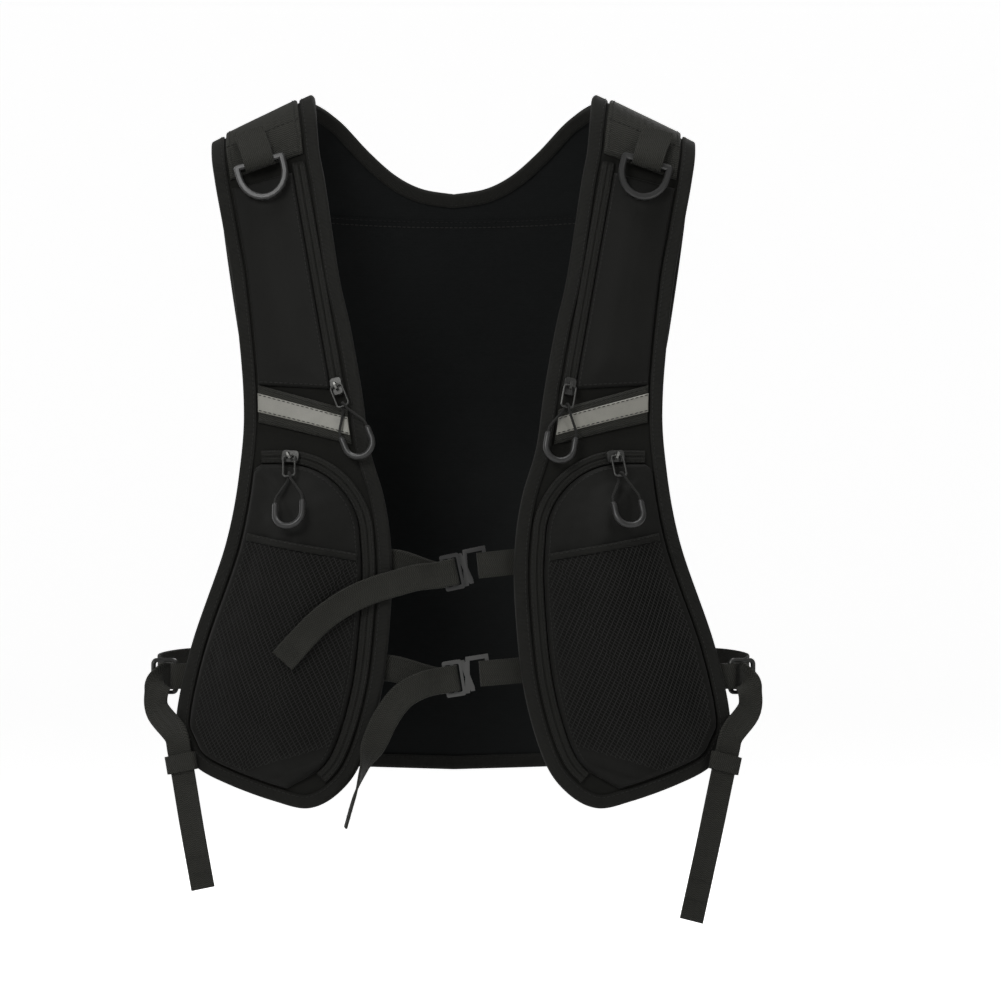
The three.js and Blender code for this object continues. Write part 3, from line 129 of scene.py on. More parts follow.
def make_floor(near=-9.0, far=7.5, radius=2.5, half_width=9.0, height=8.0):
    profile_points = [(near, 0.0), (far, 0.0)]
    for step in range(1, 13):
        angle = step / 12 * math.pi / 2
        profile_points.append((far + radius * math.sin(angle), radius * (1 - math.cos(angle))))
    profile_points.append((far + radius, height))
    points = [(x, y, FLOOR_LEVEL + z) for y, z in profile_points for x in (-half_width, half_width)]
    quads = [(2 * i, 2 * i + 1, 2 * i + 3, 2 * i + 2) for i in range(len(profile_points) - 1)]
    mesh = bpy.data.meshes.new("floor")
    mesh.from_pydata(points, [], quads)
    mesh.shade_smooth()
    mesh.materials.append(stage_material())
    floor = bpy.data.objects.new("floor", mesh)
    scene.collection.objects.link(floor)
    return floor


make_floor()
print("floor at", round(FLOOR_LEVEL, 3))

# %% Lights
scene.view_settings.view_transform = "Standard"
world = bpy.data.worlds.new("studio")
world.use_nodes = True
world.node_tree.nodes["Background"].inputs["Color"].default_value = (1, 1, 1, 1)
world.node_tree.nodes["Background"].inputs["Strength"].default_value = 0.13
scene.world = world


def area_light(name, location, target, size, power):
    data = bpy.data.lights.new(name, "AREA")
    data.shape = "RECTANGLE"
    data.size, data.size_y = size
    data.energy = power
    light = bpy.data.objects.new(name, data)
    light.location = location
    light.rotation_euler = (Vector(target) - Vector(location)).to_track_quat("-Z", "Y").to_euler()
    scene.collection.objects.link(light)


CHEST = (0, 0, -0.2)
area_light("key", (-0.9, -1.9, 1.0), CHEST, (0.9, 0.9), 25)
area_light("fill", (1.5, -1.6, 0.3), CHEST, (0.4, 1.4), 5)
area_light("top", (0.1, -0.2, 1.4), CHEST, (1.2, 0.5), 13)
area_light("rim", (-1.4, 0.6, 0.2), CHEST, (0.4, 1.3), 6)
area_light("behind", (0.6, 1.8, 0.6), CHEST, (1.4, 0.8), 9)

# %% [markdown]
# ## The torso under the cloth
# Every panel is a flat pattern that wraps over the shoulder and down the chest or back. A point of
# the pattern has x across and a reach, the length down the cloth. `on_cloth` turns it into a place
# in space at any height above the cloth. All of this is in millimetres and matches the CAD model.

# %% Torso surface
NECK_HALF, NECK_RISE = 79.0, 16.5
SHOULDER_SLOPE, SHOULDER_ROUND, SHOULDER_RADIUS = 0.515, 40.0, 24.0
FRONT_LEAN, BACK_LEAN = math.radians(14), math.radians(10)
LEAN_DROP, LEAN_BLEND = 190.0, 45.0
TORSO_CURVE, TORSO_HALF, CURVE_FADE = 75.0, 190.0, 250.0


def smoothstep(value, low=0.0, high=1.0):
    share = np.clip((np.asarray(value, float) - low) / (high - low), 0, 1)
    return share * share * (3 - 2 * share)


def ridge(x):
    run = np.hypot(x, SHOULDER_ROUND) - math.hypot(NECK_HALF, SHOULDER_ROUND)
    return NECK_RISE - SHOULDER_SLOPE * run


def profile(along):
    """How far out and how far down the cloth is, at a length from the shoulder line."""
    lean = np.where(along >= 0, FRONT_LEAN, BACK_LEAN)
    length = np.abs(along)
    round_length = SHOULDER_RADIUS * (math.pi / 2 - lean)
    angle = np.minimum(length, round_length) / SHOULDER_RADIUS
    round_drop = SHOULDER_RADIUS * (1 - np.cos(math.pi / 2 - lean))
    slope_length = (LEAN_DROP - round_drop) / np.cos(lean)
    on_slope = np.clip(length - round_length, 0, slope_length)
    blend_radius = LEAN_BLEND / np.sin(lean)
    past_slope = length - round_length - slope_length
    left = lean - np.clip(past_slope, 0, blend_radius * lean) / blend_radius
    upright = np.maximum(0, past_slope - blend_radius * lean)
    out = SHOULDER_RADIUS * np.sin(angle) + on_slope * np.sin(lean)
    out = out + blend_radius * (np.cos(left) - np.cos(lean))
    drop = SHOULDER_RADIUS * (1 - np.cos(angle)) + on_slope * np.cos(lean)
    return out, drop + blend_radius * (np.sin(lean) - np.sin(left)) + upright


def along_at(drop, lean):
    """The profile the other way round: the length along the cloth at a drop."""
    turn = math.pi / 2 - lean
    round_drop = SHOULDER_RADIUS * (1 - math.cos(turn))
    if drop <= round_drop:
        return SHOULDER_RADIUS * math.acos(1 - max(0, drop) / SHOULDER_RADIUS)
    if drop <= LEAN_DROP:
        return SHOULDER_RADIUS * turn + (drop - round_drop) / math.cos(lean)
    base = SHOULDER_RADIUS * turn + (LEAN_DROP - round_drop) / math.cos(lean)
    blend_radius = LEAN_BLEND / math.sin(lean)
    sine = math.sin(lean) - (drop - LEAN_DROP) / blend_radius
    if sine > 0:
        return base + blend_radius * (lean - math.asin(sine))
    return base + blend_radius * lean + drop - LEAN_DROP - LEAN_BLEND


def on_torso(x, along):
    out, drop = profile(along)
    fade = smoothstep(np.abs(along), 0, CURVE_FADE)
    share = np.minimum(np.abs(x) / TORSO_HALF, 0.98)
    curve = fade * TORSO_CURVE * (1 - np.sqrt(1 - share * share))
    side = np.where(along >= 0, 1.0, -1.0)
    return np.stack([x + 0 * along, side * (curve - out), ridge(x) - drop], -1)


def outward(x, along, step=0.5):
    down = on_torso(x, along + step) - on_torso(x, along - step)
    across = on_torso(x + step, along) - on_torso(x - step, along)
    normal = np.cross(down, across)
    return normal / np.linalg.norm(normal, axis=-1, keepdims=True)


FRONT, BACK = 1, -1
print("fall of the cloth at the neck edge:", round(float(ridge(NECK_HALF)), 1), "mm")

# %% From the pattern to the torso
def on_cloth(points, height, hand=1, side=FRONT):
    points = np.asarray(points, float)
    x = hand * points[..., 0]
    along = side * (points[..., 1] + ridge(x))
    return on_torso(x, along) + outward(x, along) * np.asarray(height, float)[..., None]


def front_at(x, z):
    return np.array([x, along_at(ridge(x) - z, FRONT_LEAN) - ridge(x)])


def back_at(x, z):
    return np.array([x, along_at(ridge(x) - z, BACK_LEAN) - ridge(x)])


print("chest depth:", round(-on_torso(40.0, np.array(250.0))[1], 1), "mm")

# %% Paths on the pattern
def distances(path):
    """How far along the path each of its points is."""
    return np.concatenate([[0], np.cumsum(np.linalg.norm(np.diff(path, axis=0), axis=1))])


def resample(path, shares):
    lengths = distances(path)
    wanted = np.asarray(shares) * lengths[-1]
    return np.stack([np.interp(wanted, lengths, path[:, k]) for k in range(path.shape[1])], -1)


def evenly(count):
    return np.linspace(0, 1, count + 1)


def length_of(path):
    return float(np.linalg.norm(np.diff(path, axis=0), axis=1).sum())


def by_length(path, spacing):
    return resample(path, evenly(max(2, int(round(length_of(path) / spacing)))))


def inset(path, distance):
    """Moves a path sideways over the cloth. Its piece is on the inner side."""
    run = np.empty_like(path)
    run[1:-1] = path[2:] - path[:-2]
    run[0], run[-1] = path[1] - path[0], path[-1] - path[-2]
    run /= np.linalg.norm(run, axis=1, keepdims=True)
    return path + np.stack([run[:, 1], -run[:, 0]], -1) * np.asarray(distance)[..., None]


def smooth(points, steps):
    """A Catmull-Rom curve through the points, with the same number of steps in every gap."""
    points = np.asarray(points, float)
    padded = np.concatenate([points[:1], points, points[-1:]])
    t = np.arange(steps)[:, None] / steps
    pieces = []
    for i in range(len(points) - 1):
        a, b, c, d = padded[i : i + 4]
        v0, v1 = (c - a) / 2, (d - b) / 2
        pieces.append(
            (2 * b - 2 * c + v0 + v1) * t**3 + (-3 * b + 3 * c - 2 * v0 - v1) * t**2 + v0 * t + b
        )
    return np.concatenate(pieces + [points[-1:]])


print("paths can be measured, spaced, inset and smoothed")

# %% Near and inside a path
def distance_to_path(points, path):
    start, edge = path[:-1], np.diff(path, axis=0)
    least = np.full(len(points), np.inf)
    for a, e in zip(start, edge):
        share = np.clip((points - a) @ e / max(e @ e, 1e-9), 0, 1)
        least = np.minimum(least, np.linalg.norm(points - a - share[:, None] * e, axis=1))
    return least


def inside_path(points, path):
    inside = np.zeros(len(points), bool)
    x, y = points[:, 0], points[:, 1]
    for (ax, ay), (bx, by) in zip(path, np.roll(path, 1, axis=0)):
        if ay != by:
            inside ^= ((ay > y) != (by > y)) & (x < (bx - ax) * (y - ay) / (by - ay) + ax)
    return inside


def nearest(path, point):
    return int(np.argmin(np.linalg.norm(path - point, axis=1)))


def stretch(path, from_z, to_z, shares):
    levels = on_cloth(path, 0.0 * path[:, 0])[:, 2]
    start = next(i for i in range(41, len(path)) if levels[i] <= from_z)
    end = next((i for i in range(start + 1, len(path)) if levels[i] <= to_z), len(path) - 1)
    return resample(path[start : end + 1], shares)


print("a step of 3 across and 4 down:", length_of(np.array([[0.0, 0.0], [3.0, 4.0]])), "mm")

# %% [markdown]
# ## Mesh helpers
# Soft pieces are grids of points laid on the torso and closed into thin solids. Every point also
# keeps its place on the pattern in millimetres, in an attribute named `cloth`. The materials read it,
# so a weave always runs along the thread of its own piece, however the piece bends.

# %% Mesh helpers
def new_piece(name, points, faces, material, cloth=None, smooth_faces=True):
    mesh = bpy.data.meshes.new(name)
    mesh.from_pydata((np.asarray(points) * MM).tolist(), [], [list(map(int, face)) for face in faces])
    if cloth is not None:
        layer = mesh.attributes.new("cloth", "FLOAT_VECTOR", "POINT")
        values = np.zeros((len(points), 3), np.float32)
        values[:, :2] = cloth
        layer.data.foreach_set("vector", values.ravel())
    if smooth_faces:
        mesh.shade_smooth()
    mesh.materials.append(material)
    piece = bpy.data.objects.new(name, mesh)
    scene.collection.objects.link(piece)
    return piece


def grid_faces(rows, columns, wrap=False):
    i, j = np.meshgrid(np.arange(rows - 1), np.arange(columns if wrap else columns - 1), indexing="ij")
    k = (j + 1) % columns
    quads = np.stack([i * columns + j, i * columns + k, (i + 1) * columns + k, (i + 1) * columns + j], -1)
    return quads.reshape(-1, 4)


print("a grid of 3 by 3 points has", len(grid_faces(3, 3)), "faces")

# %% Sheets and sweeps
def thick_sheet(name, pattern, top, low, material, hand=1, side=FRONT):
    """A closed solid between two heights over a grid of pattern points."""
    rows, columns = pattern.shape[:2]
    flat = pattern.reshape(-1, 2)
    top = np.broadcast_to(top, pattern.shape[:2]).reshape(-1)
    low = np.broadcast_to(low, pattern.shape[:2]).reshape(-1)
    points = np.concatenate([on_cloth(flat, top, hand, side), on_cloth(flat, low, hand, side)])
    count = rows * columns
    upper = grid_faces(rows, columns)
    index = np.arange(count).reshape(rows, columns)
    rim = np.concatenate([index[0], index[1:, -1], index[-1, -2::-1], index[-2:0:-1, 0]])
    after = np.roll(rim, -1)
    walls = np.stack([after, rim, rim + count, after + count], -1)
    faces = np.concatenate([upper, upper[:, ::-1] + count, walls])
    first = pattern[1, 0] - pattern[0, 0]
    second = pattern[0, 1] - pattern[0, 0]
    turned = (first[0] * second[1] - first[1] * second[0] < 0) ^ (hand * side < 0)
    if turned:
        faces = faces[:, ::-1]
    return new_piece(name, points, faces, material, np.concatenate([flat, flat]))


def sweep(name, rings, material, cloth=None, closed=False):
    """Rings of points joined in a row, with a face over each end."""
    rings = np.asarray(rings)
    count, sides = rings.shape[:2]
    faces = grid_faces(count, sides, wrap=True).tolist()
    if closed:
        last = (count - 1) * sides
        faces += [[last + j, last + (j + 1) % sides, (j + 1) % sides, j] for j in range(sides)]
    else:
        faces.append(list(range(sides)))
        faces.append([(count - 1) * sides + j for j in reversed(range(sides))])
    mesh = bpy.data.meshes.new(name)
    mesh.from_pydata((rings.reshape(-1, 3) * MM).tolist(), [], faces)
    if cloth is not None:
        layer = mesh.attributes.new("cloth", "FLOAT_VECTOR", "POINT")
        values = np.zeros((count * sides, 3), np.float32)
        values[:, :2] = np.asarray(cloth).reshape(-1, 2)
        layer.data.foreach_set("vector", values.ravel())
    mesh.shade_smooth()
    mesh.materials.append(material)
    turn_faces_out(mesh)
    piece = bpy.data.objects.new(name, mesh)
    scene.collection.objects.link(piece)
    return piece


def turn_faces_out(mesh):
    volume = 0.0
    for polygon in mesh.polygons:
        volume += polygon.center.dot(polygon.normal) * polygon.area
    if volume < 0:
        mesh.flip_normals()


print("sheet and sweep helpers ready")

# %% Soft waves
def ripples(u, v, wavelength, seed, waves=7, stretch_v=1.0):
    """Soft random waves, the same on every run, between -1 and 1."""
    random = np.random.default_rng(seed)
    total = 0.0
    for _ in range(waves):
        angle, phase = random.uniform(0, math.tau, 2)
        size = wavelength * random.uniform(0.7, 1.6)
        along = u * math.cos(angle) + v * math.sin(angle) / stretch_v
        total = total + np.sin(math.tau * along / size + phase)
    return total / waves


print("helpers ready")

# %% [markdown]
# ## Cloth finishes
# Black fabrics differ less in colour than in how they break up light. Three effects are shared by
# many materials, so each is a node group that puts out only masks: a plain weave, the ribs of a
# woven tape, and the uneven fade and dust of used cloth. Every material keeps its own shader.

# %% Node helpers
def math_node(tree, operation, first, second=None, clamp=False):
    node = tree.nodes.new("ShaderNodeMath")
    node.operation = operation
    node.use_clamp = clamp
    for socket, value in zip(node.inputs, (first, second)):
        if isinstance(value, (int, float)):
            socket.default_value = value
        elif value is not None:
            tree.links.new(value, socket)
    return node.outputs[0]


def new_group(name, inputs, outputs):
    tree = bpy.data.node_groups.new(name, "ShaderNodeTree")
    for label, kind, default in inputs:
        socket = tree.interface.new_socket(label, in_out="INPUT", socket_type=kind)
        if default is not None:
            socket.default_value = default
    for label, kind in outputs:
        tree.interface.new_socket(label, in_out="OUTPUT", socket_type=kind)
    return tree, tree.nodes.new("NodeGroupInput"), tree.nodes.new("NodeGroupOutput")


def pattern_axes(tree, source):
    split = tree.nodes.new("ShaderNodeSeparateXYZ")
    tree.links.new(source, split.inputs[0])
    return split.outputs[0], split.outputs[1]


print("node helpers ready")

# %% Weave, ribs and fade
def make_weave_group():
    """A plain weave: threads that pass over and under each other. Pitch is in millimetres."""
    inputs = [("Vector", "NodeSocketVector", None), ("Pitch", "NodeSocketFloat", 0.5)]
    tree, enter, leave = new_group("plain_weave", inputs, [("Height", "NodeSocketFloat")])
    u, v = pattern_axes(tree, enter.outputs["Vector"])
    waves = []
    for axis in (u, v):
        turns = math_node(tree, "MULTIPLY", math_node(tree, "DIVIDE", axis, enter.outputs["Pitch"]), math.pi)
        waves.append(math_node(tree, "SINE", turns))
    crossing = math_node(tree, "MULTIPLY", waves[0], waves[1])
    height = math_node(tree, "MULTIPLY_ADD", crossing, 0.5)
    height.node.inputs[2].default_value = 0.5
    tree.links.new(height, leave.inputs["Height"])
    return tree


def make_rib_group():
    """Woven ribs with a herringbone slant. Pitch and Slant are in millimetres."""
    inputs = [
        ("Vector", "NodeSocketVector", None),
        ("Pitch", "NodeSocketFloat", 0.8),
        ("Slant", "NodeSocketFloat", 0.0),
        ("Column", "NodeSocketFloat", 2.5),
    ]
    tree, enter, leave = new_group("tape_ribs", inputs, [("Height", "NodeSocketFloat")])
    u, v = pattern_axes(tree, enter.outputs["Vector"])
    column = math_node(tree, "PINGPONG", u, enter.outputs["Column"])
    slanted = math_node(tree, "ADD", v, math_node(tree, "MULTIPLY", column, enter.outputs["Slant"]))
    turns = math_node(tree, "MULTIPLY", math_node(tree, "DIVIDE", slanted, enter.outputs["Pitch"]), math.tau)
    height = math_node(tree, "MULTIPLY_ADD", math_node(tree, "SINE", turns), 0.5)
    height.node.inputs[2].default_value = 0.5
    tree.links.new(height, leave.inputs["Height"])
    return tree


def noise_over(tree, vector, scale, detail):
    noise = tree.nodes.new("ShaderNodeTexNoise")
    noise.inputs["Scale"].default_value = scale
    noise.inputs["Detail"].default_value = detail
    tree.links.new(vector, noise.inputs["Vector"])
    return noise.outputs["Fac"]


def divided(tree, vector, size):
    scaled = tree.nodes.new("ShaderNodeVectorMath")
    scaled.operation = "DIVIDE"
    tree.links.new(vector, scaled.inputs[0])
    tree.links.new(size, scaled.inputs[1])
    return scaled.outputs[0]


def make_fade_group():
    """Uneven dye and a little lint. Both outputs run from 0 to 1."""
    inputs = [("Vector", "NodeSocketVector", None), ("Patch", "NodeSocketFloat", 30.0)]
    outputs = [("Fade", "NodeSocketFloat"), ("Lint", "NodeSocketFloat")]
    tree, enter, leave = new_group("fade_and_lint", inputs, outputs)
    patches = divided(tree, enter.outputs["Vector"], enter.outputs["Patch"])
    tree.links.new(noise_over(tree, patches, 1.0, 4), leave.inputs["Fade"])
    specks = noise_over(tree, enter.outputs["Vector"], 2.2, 3)
    lint = math_node(tree, "SUBTRACT", specks, 0.66, clamp=True)
    lint = math_node(tree, "MULTIPLY", lint, 4, clamp=True)
    tree.links.new(lint, leave.inputs["Lint"])
    return tree


WEAVE, RIBS, FADE = make_weave_group(), make_rib_group(), make_fade_group()
print("node groups:", [group.name for group in bpy.data.node_groups])

# %% Fabric materials
def place_group(tree, group, source, values):
    node = tree.nodes.new("ShaderNodeGroup")
    node.node_tree = group
    tree.links.new(source, node.inputs["Vector"])
    for label, value in values.items():
        node.inputs[label].default_value = value
    return node


def mix_colours(tree, factor, dark, light):
    mix = tree.nodes.new("ShaderNodeMix")
    mix.data_type = "RGBA"
    tree.links.new(factor, mix.inputs["Factor"])
    mix.inputs["A"].default_value = (*dark, 1)
    mix.inputs["B"].default_value = (*light, 1)
    return mix.outputs["Result"]


def fabric(name, dark, light, pattern, values, relief, roughness=0.8, sheen=0.03, patch=30.0,
           tint=0.5, shine=0.1):
    """Cloth whose colour and relief come from a thread pattern on the `cloth` attribute."""
    material = bpy.data.materials.new(name)
    material.use_nodes = True
    tree = material.node_tree
    shader = tree.nodes["Principled BSDF"]
    cloth = tree.nodes.new("ShaderNodeAttribute")
    cloth.attribute_name = "cloth"
    threads = place_group(tree, pattern, cloth.outputs["Vector"], values)
    fade = place_group(tree, FADE, cloth.outputs["Vector"], {"Patch": patch})
    shade = math_node(tree, "MULTIPLY", threads.outputs["Height"], tint)
    dye = math_node(tree, "MULTIPLY", fade.outputs["Fade"], 1 - tint)
    shade = math_node(tree, "ADD", shade, dye, clamp=True)
    colour = mix_colours(tree, shade, dark, light)
    tree.links.new(colour, shader.inputs["Base Color"])
    rough = math_node(tree, "MULTIPLY_ADD", fade.outputs["Fade"], 0.2)
    rough.node.inputs[2].default_value = roughness - 0.1
    tree.links.new(rough, shader.inputs["Roughness"])
    bump = tree.nodes.new("ShaderNodeBump")
    bump.inputs["Strength"].default_value = 1.0
    bump.inputs["Distance"].default_value = relief * MM
    tree.links.new(threads.outputs["Height"], bump.inputs["Height"])
    tree.links.new(bump.outputs["Normal"], shader.inputs["Normal"])
    shader.inputs["Sheen Weight"].default_value = sheen
    shader.inputs["Sheen Roughness"].default_value = 0.5
    shader.inputs["Specular IOR Level"].default_value = shine
    return material


PANEL = fabric(
    "panel_cloth", (0.0045, 0.0045, 0.0038), (0.0115, 0.0115, 0.0098), WEAVE, {"Pitch": 0.45}, 0.08,
)
POCKET = fabric(
    "pocket_cloth", (0.0045, 0.0045, 0.004), (0.0125, 0.0125, 0.0112), WEAVE, {"Pitch": 0.36}, 0.06, 0.6,
)
LINING = fabric(
    "lining_knit", (0.002, 0.0026, 0.0026), (0.006, 0.007, 0.007), RIBS,
    {"Pitch": 0.9, "Slant": 1.0, "Column": 0.45}, 0.05, 0.5, 0.0, 60.0, shine=0.1,
)
BINDING = fabric(
    "binding_grosgrain", (0.006, 0.006, 0.0052), (0.017, 0.017, 0.015), RIBS,
    {"Pitch": 0.75}, 0.16, 0.7, 0.04, 12.0,
)
ZIP_TAPE = fabric(
    "zip_tape", (0.007, 0.007, 0.006), (0.017, 0.017, 0.0148), RIBS,
    {"Pitch": 0.6, "Slant": 1.0, "Column": 0.6}, 0.08, 0.5,
)
WEBBING = fabric(
    "webbing", (0.01, 0.01, 0.0085), (0.036, 0.036, 0.031), RIBS,
    {"Pitch": 1.1, "Slant": 0.55, "Column": 1.9}, 0.2, 0.6, 0.04, 10.0, 0.7,
)
MESH_THREAD = fabric(
    "mesh_thread", (0.009, 0.009, 0.0086), (0.034, 0.034, 0.032), RIBS, {"Pitch": 0.5}, 0.05, 0.65,
)
THREAD = fabric("stitching", (0.012, 0.012, 0.011), (0.03, 0.03, 0.028), RIBS, {"Pitch": 0.3}, 0.03, 0.6)
CORD = fabric(
    "braided_cord", (0.01, 0.01, 0.0095), (0.034, 0.034, 0.032), RIBS,
    {"Pitch": 0.6, "Slant": 1.0, "Column": 0.5}, 0.1, 0.6, 0.03, 6.0,
)
print("fabrics:", sum(m.name != "stage_white" for m in bpy.data.materials))

# %% [markdown]
# ## Reflective tape, plastic and metal
# The grey tape is cloth coated with tiny glass beads: a fine sparkle over an even grey. The buckles,
# grips and D-rings are moulded plastic with a faint grain and a painted highlight along their edges.
# The sliders, wire rings and side rings are metal with a thin dark plating and a painted edge highlight.

# %% Reflective tape and hard finishes
def reflective_tape():
    material = bpy.data.materials.new("reflective_tape")
    material.use_nodes = True
    tree = material.node_tree
    shader = tree.nodes["Principled BSDF"]
    cloth = tree.nodes.new("ShaderNodeAttribute")
    cloth.attribute_name = "cloth"
    beads = tree.nodes.new("ShaderNodeTexVoronoi")
    beads.inputs["Scale"].default_value = 5.0
    tree.links.new(cloth.outputs["Vector"], beads.inputs["Vector"])
    fade = place_group(tree, FADE, cloth.outputs["Vector"], {"Patch": 9.0})
    sparkle = math_node(tree, "MULTIPLY", beads.outputs["Distance"], 0.5)
    dulled = math_node(tree, "MULTIPLY", fade.outputs["Fade"], 0.6)
    shade = math_node(tree, "ADD", sparkle, dulled, clamp=True)
    colour = mix_colours(tree, shade, (0.15, 0.148, 0.13), (0.26, 0.255, 0.225))
    tree.links.new(colour, shader.inputs["Base Color"])
    bump = tree.nodes.new("ShaderNodeBump")
    bump.inputs["Distance"].default_value = 0.04 * MM
    tree.links.new(beads.outputs["Distance"], bump.inputs["Height"])
    tree.links.new(bump.outputs["Normal"], shader.inputs["Normal"])
    shader.inputs["Roughness"].default_value = 0.45
    return material


def make_edge_group():
    """A painted highlight along sharp edges, and a fine grain over everything. Size is in millimetres."""
    inputs = [("Vector", "NodeSocketVector", None), ("Size", "NodeSocketFloat", 0.4)]
    outputs = [("Edge_highlight", "NodeSocketFloat"), ("Grain", "NodeSocketFloat")]
    tree, enter, leave = new_group("edge_and_grain", inputs, outputs)
    geometry = tree.nodes.new("ShaderNodeNewGeometry")
    sharp = math_node(tree, "SUBTRACT", geometry.outputs["Pointiness"], 0.52, clamp=True)
    scaled = divided(tree, enter.outputs["Vector"], enter.outputs["Size"])
    grain = noise_over(tree, scaled, 1000.0, 3)
    # Sharp edges get a painted highlight: the colour turns lighter there, broken up by the grain.
    edge = math_node(tree, "MULTIPLY", math_node(tree, "MULTIPLY", sharp, 9), grain, clamp=True)
    tree.links.new(edge, leave.inputs["Edge_highlight"])
    tree.links.new(grain, leave.inputs["Grain"])
    return tree


EDGES = make_edge_group()


def hard_finish(name, body, edge_highlight, roughness, metallic, grain_size, relief):
    material = bpy.data.materials.new(name)
    material.use_nodes = True
    tree = material.node_tree
    shader = tree.nodes["Principled BSDF"]
    place = tree.nodes.new("ShaderNodeTexCoord")
    surface = place_group(tree, EDGES, place.outputs["Object"], {"Size": grain_size})
    # The second colour is a painted highlight, laid along sharp edges.
    tree.links.new(mix_colours(tree, surface.outputs["Edge_highlight"], body, edge_highlight), shader.inputs["Base Color"])
    rough = math_node(tree, "MULTIPLY_ADD", surface.outputs["Grain"], 0.16)
    rough.node.inputs[2].default_value = roughness - 0.08
    tree.links.new(rough, shader.inputs["Roughness"])
    bump = tree.nodes.new("ShaderNodeBump")
    bump.inputs["Strength"].default_value = 0.5
    bump.inputs["Distance"].default_value = relief * MM
    tree.links.new(surface.outputs["Grain"], bump.inputs["Height"])
    tree.links.new(bump.outputs["Normal"], shader.inputs["Normal"])
    shader.inputs["Metallic"].default_value = metallic
    return material


REFLECTIVE = reflective_tape()
# The second colour of each finish is its painted edge highlight.
PLASTIC = hard_finish("moulded_plastic", (0.02, 0.02, 0.0195), (0.06, 0.06, 0.058), 0.38, 0.0, 0.25, 0.02)
GUNMETAL = hard_finish("dark_plating", (0.05, 0.05, 0.048), (0.2, 0.2, 0.19), 0.42, 0.8, 0.5, 0.01)
print("hard finishes ready")

# %% [markdown]
# ## Stitching
# Sewing shows as short raised dashes of thread with a gap where the needle goes in. One small
# spindle-shaped dash is made once and repeated along each seam as real geometry, so the rows of
# stitches cast their own tiny shadows.

# %% Stitches
class Seams:
    """Collects dashes of thread and turns them into one piece."""

    def __init__(self):
        self.points, self.faces, self.cloth, self.count = [], [], [], 0
        angles = np.arange(5) / 5 * math.tau
        shares = np.array([-0.5, -0.3, 0.0, 0.3, 0.5])
        fat = np.array([0.25, 0.85, 1.0, 0.85, 0.25])
        self.ring = np.stack([np.cos(angles), np.sin(angles)], -1)
        self.shares, self.fat = shares, fat
        faces = grid_faces(5, 5, wrap=True).tolist()
        self.template = faces + [list(range(5)), list(range(24, 19, -1))]

    def sew(self, pattern, height, hand=1, side=FRONT, spacing=2.7, dash=2.1, radius=0.28):
        if len(pattern) < 2:
            return
        count = max(2, int(length_of(pattern) / spacing))
        dense = resample(pattern, np.linspace(0, 1, count * 2 + 1))
        given = np.atleast_1d(height).astype(float)
        heights = np.interp(np.linspace(0, 1, len(dense)), np.linspace(0, 1, len(given)), given)
        places = on_cloth(dense, heights, hand, side)
        normals = on_cloth(dense, heights + 1, hand, side) - places
        middle = places[1::2]
        along = places[2::2] - places[:-2:2]
        along /= np.linalg.norm(along, axis=1, keepdims=True)
        self.add(middle, along, normals[1::2], dense[1::2], dash, radius)

    def add(self, middle, along, normal, cloth, dash, radius):
        across = np.cross(along, normal)
        for m, a, c, n, uv in zip(middle, along, across, normal, cloth):
            base = len(self.points) * 25
            rings = (
                m
                + a * (self.shares * dash)[:, None, None]
                + (c * self.ring[None, :, :1] + n * self.ring[None, :, 1:])
                * (radius * self.fat)[:, None, None]
            )
            self.points.append(rings.reshape(-1, 3))
            self.faces += [[base + k for k in face] for face in self.template]
            self.cloth.append(np.repeat([[uv[0], uv[1]]], 25, axis=0) + self.shares.repeat(5)[:, None] * dash)
            self.count += 1

    def finish(self, name, body, slot, material=THREAD):
        piece = new_piece(name, np.concatenate(self.points), self.faces, material, np.concatenate(self.cloth))
        turn_faces_out(piece.data)
        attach(piece, body)
        print(name, "has", self.count, "stitches")
        return piece


ROOT = "vest"
seams = {"left": Seams(), "right": Seams(), "back": Seams()}
SIDES = (("left", -1), ("right", 1))

# %% [markdown]
# ## The front panels
# Each front is one padded panel from the shoulder seam to the hem. Its outline is a smooth curve
# through a few points, and the panel is a fine grid between its inner and outer edges. Gentle random
# waves make it look like foam-backed cloth that has been worn.

# %% Front outline
INNER_EDGE = [(76.5, -10), (72.5, -33), (64.5, -85), (58, -114), (51.5, -150), (47, -182), (39, -210),
              (35, -238), (35, -270), (40, -318), (51, -357), (64, -376)]
HEM = [(81, -385), (101, -381)]
OUTER_EDGE = [(126, -372), (144, -362.5), (152, -350), (155.5, -334), (146.5, -292), (127, -234),
              (119, -188), (118, -150), (124, -92), (130, -58), (136, -24)]
SEAM_BEHIND = 12.0
SHOULDER_OUT = 136.5
PANEL_THICK, BINDING_WIDTH, BINDING_WALL, BINDING_PLAY = 2.6, 7.5, 0.8, 0.5
EDGE_INSET = 1.0
LAYER_LOW = PANEL_THICK + 0.8


def past_ridge(x, along):
    return np.array([x, along - ridge(x)])


outline = [past_ridge(NECK_HALF + 0.5, -SEAM_BEHIND), past_ridge(NECK_HALF, 0)]
outline += [front_at(x, z) for x, z in INNER_EDGE + HEM + OUTER_EDGE]
outline += [past_ridge(SHOULDER_OUT, 0), past_ridge(SHOULDER_OUT, -SEAM_BEHIND)]
OUTLINE = smooth(outline, 20)
HEM_MIDDLE = (2 + len(INNER_EDGE)) * 20
seam_ends = [past_ridge(x, -SEAM_BEHIND - 0.35) for x in (NECK_HALF + 0.5, SHOULDER_OUT)]
front_edge = by_length(np.concatenate([seam_ends[:1], OUTLINE, seam_ends[1:]]), 1.6)
inner_run = resample(OUTLINE[: HEM_MIDDLE + 1], evenly(150))
outer_run = resample(OUTLINE[HEM_MIDDLE:][::-1], evenly(150))
print("edge of a front panel:", round(length_of(OUTLINE)), "mm")


def rows_between(first, second, shares):
    return first[:, None] + (second - first)[:, None] * np.asarray(shares)[None, :, None]


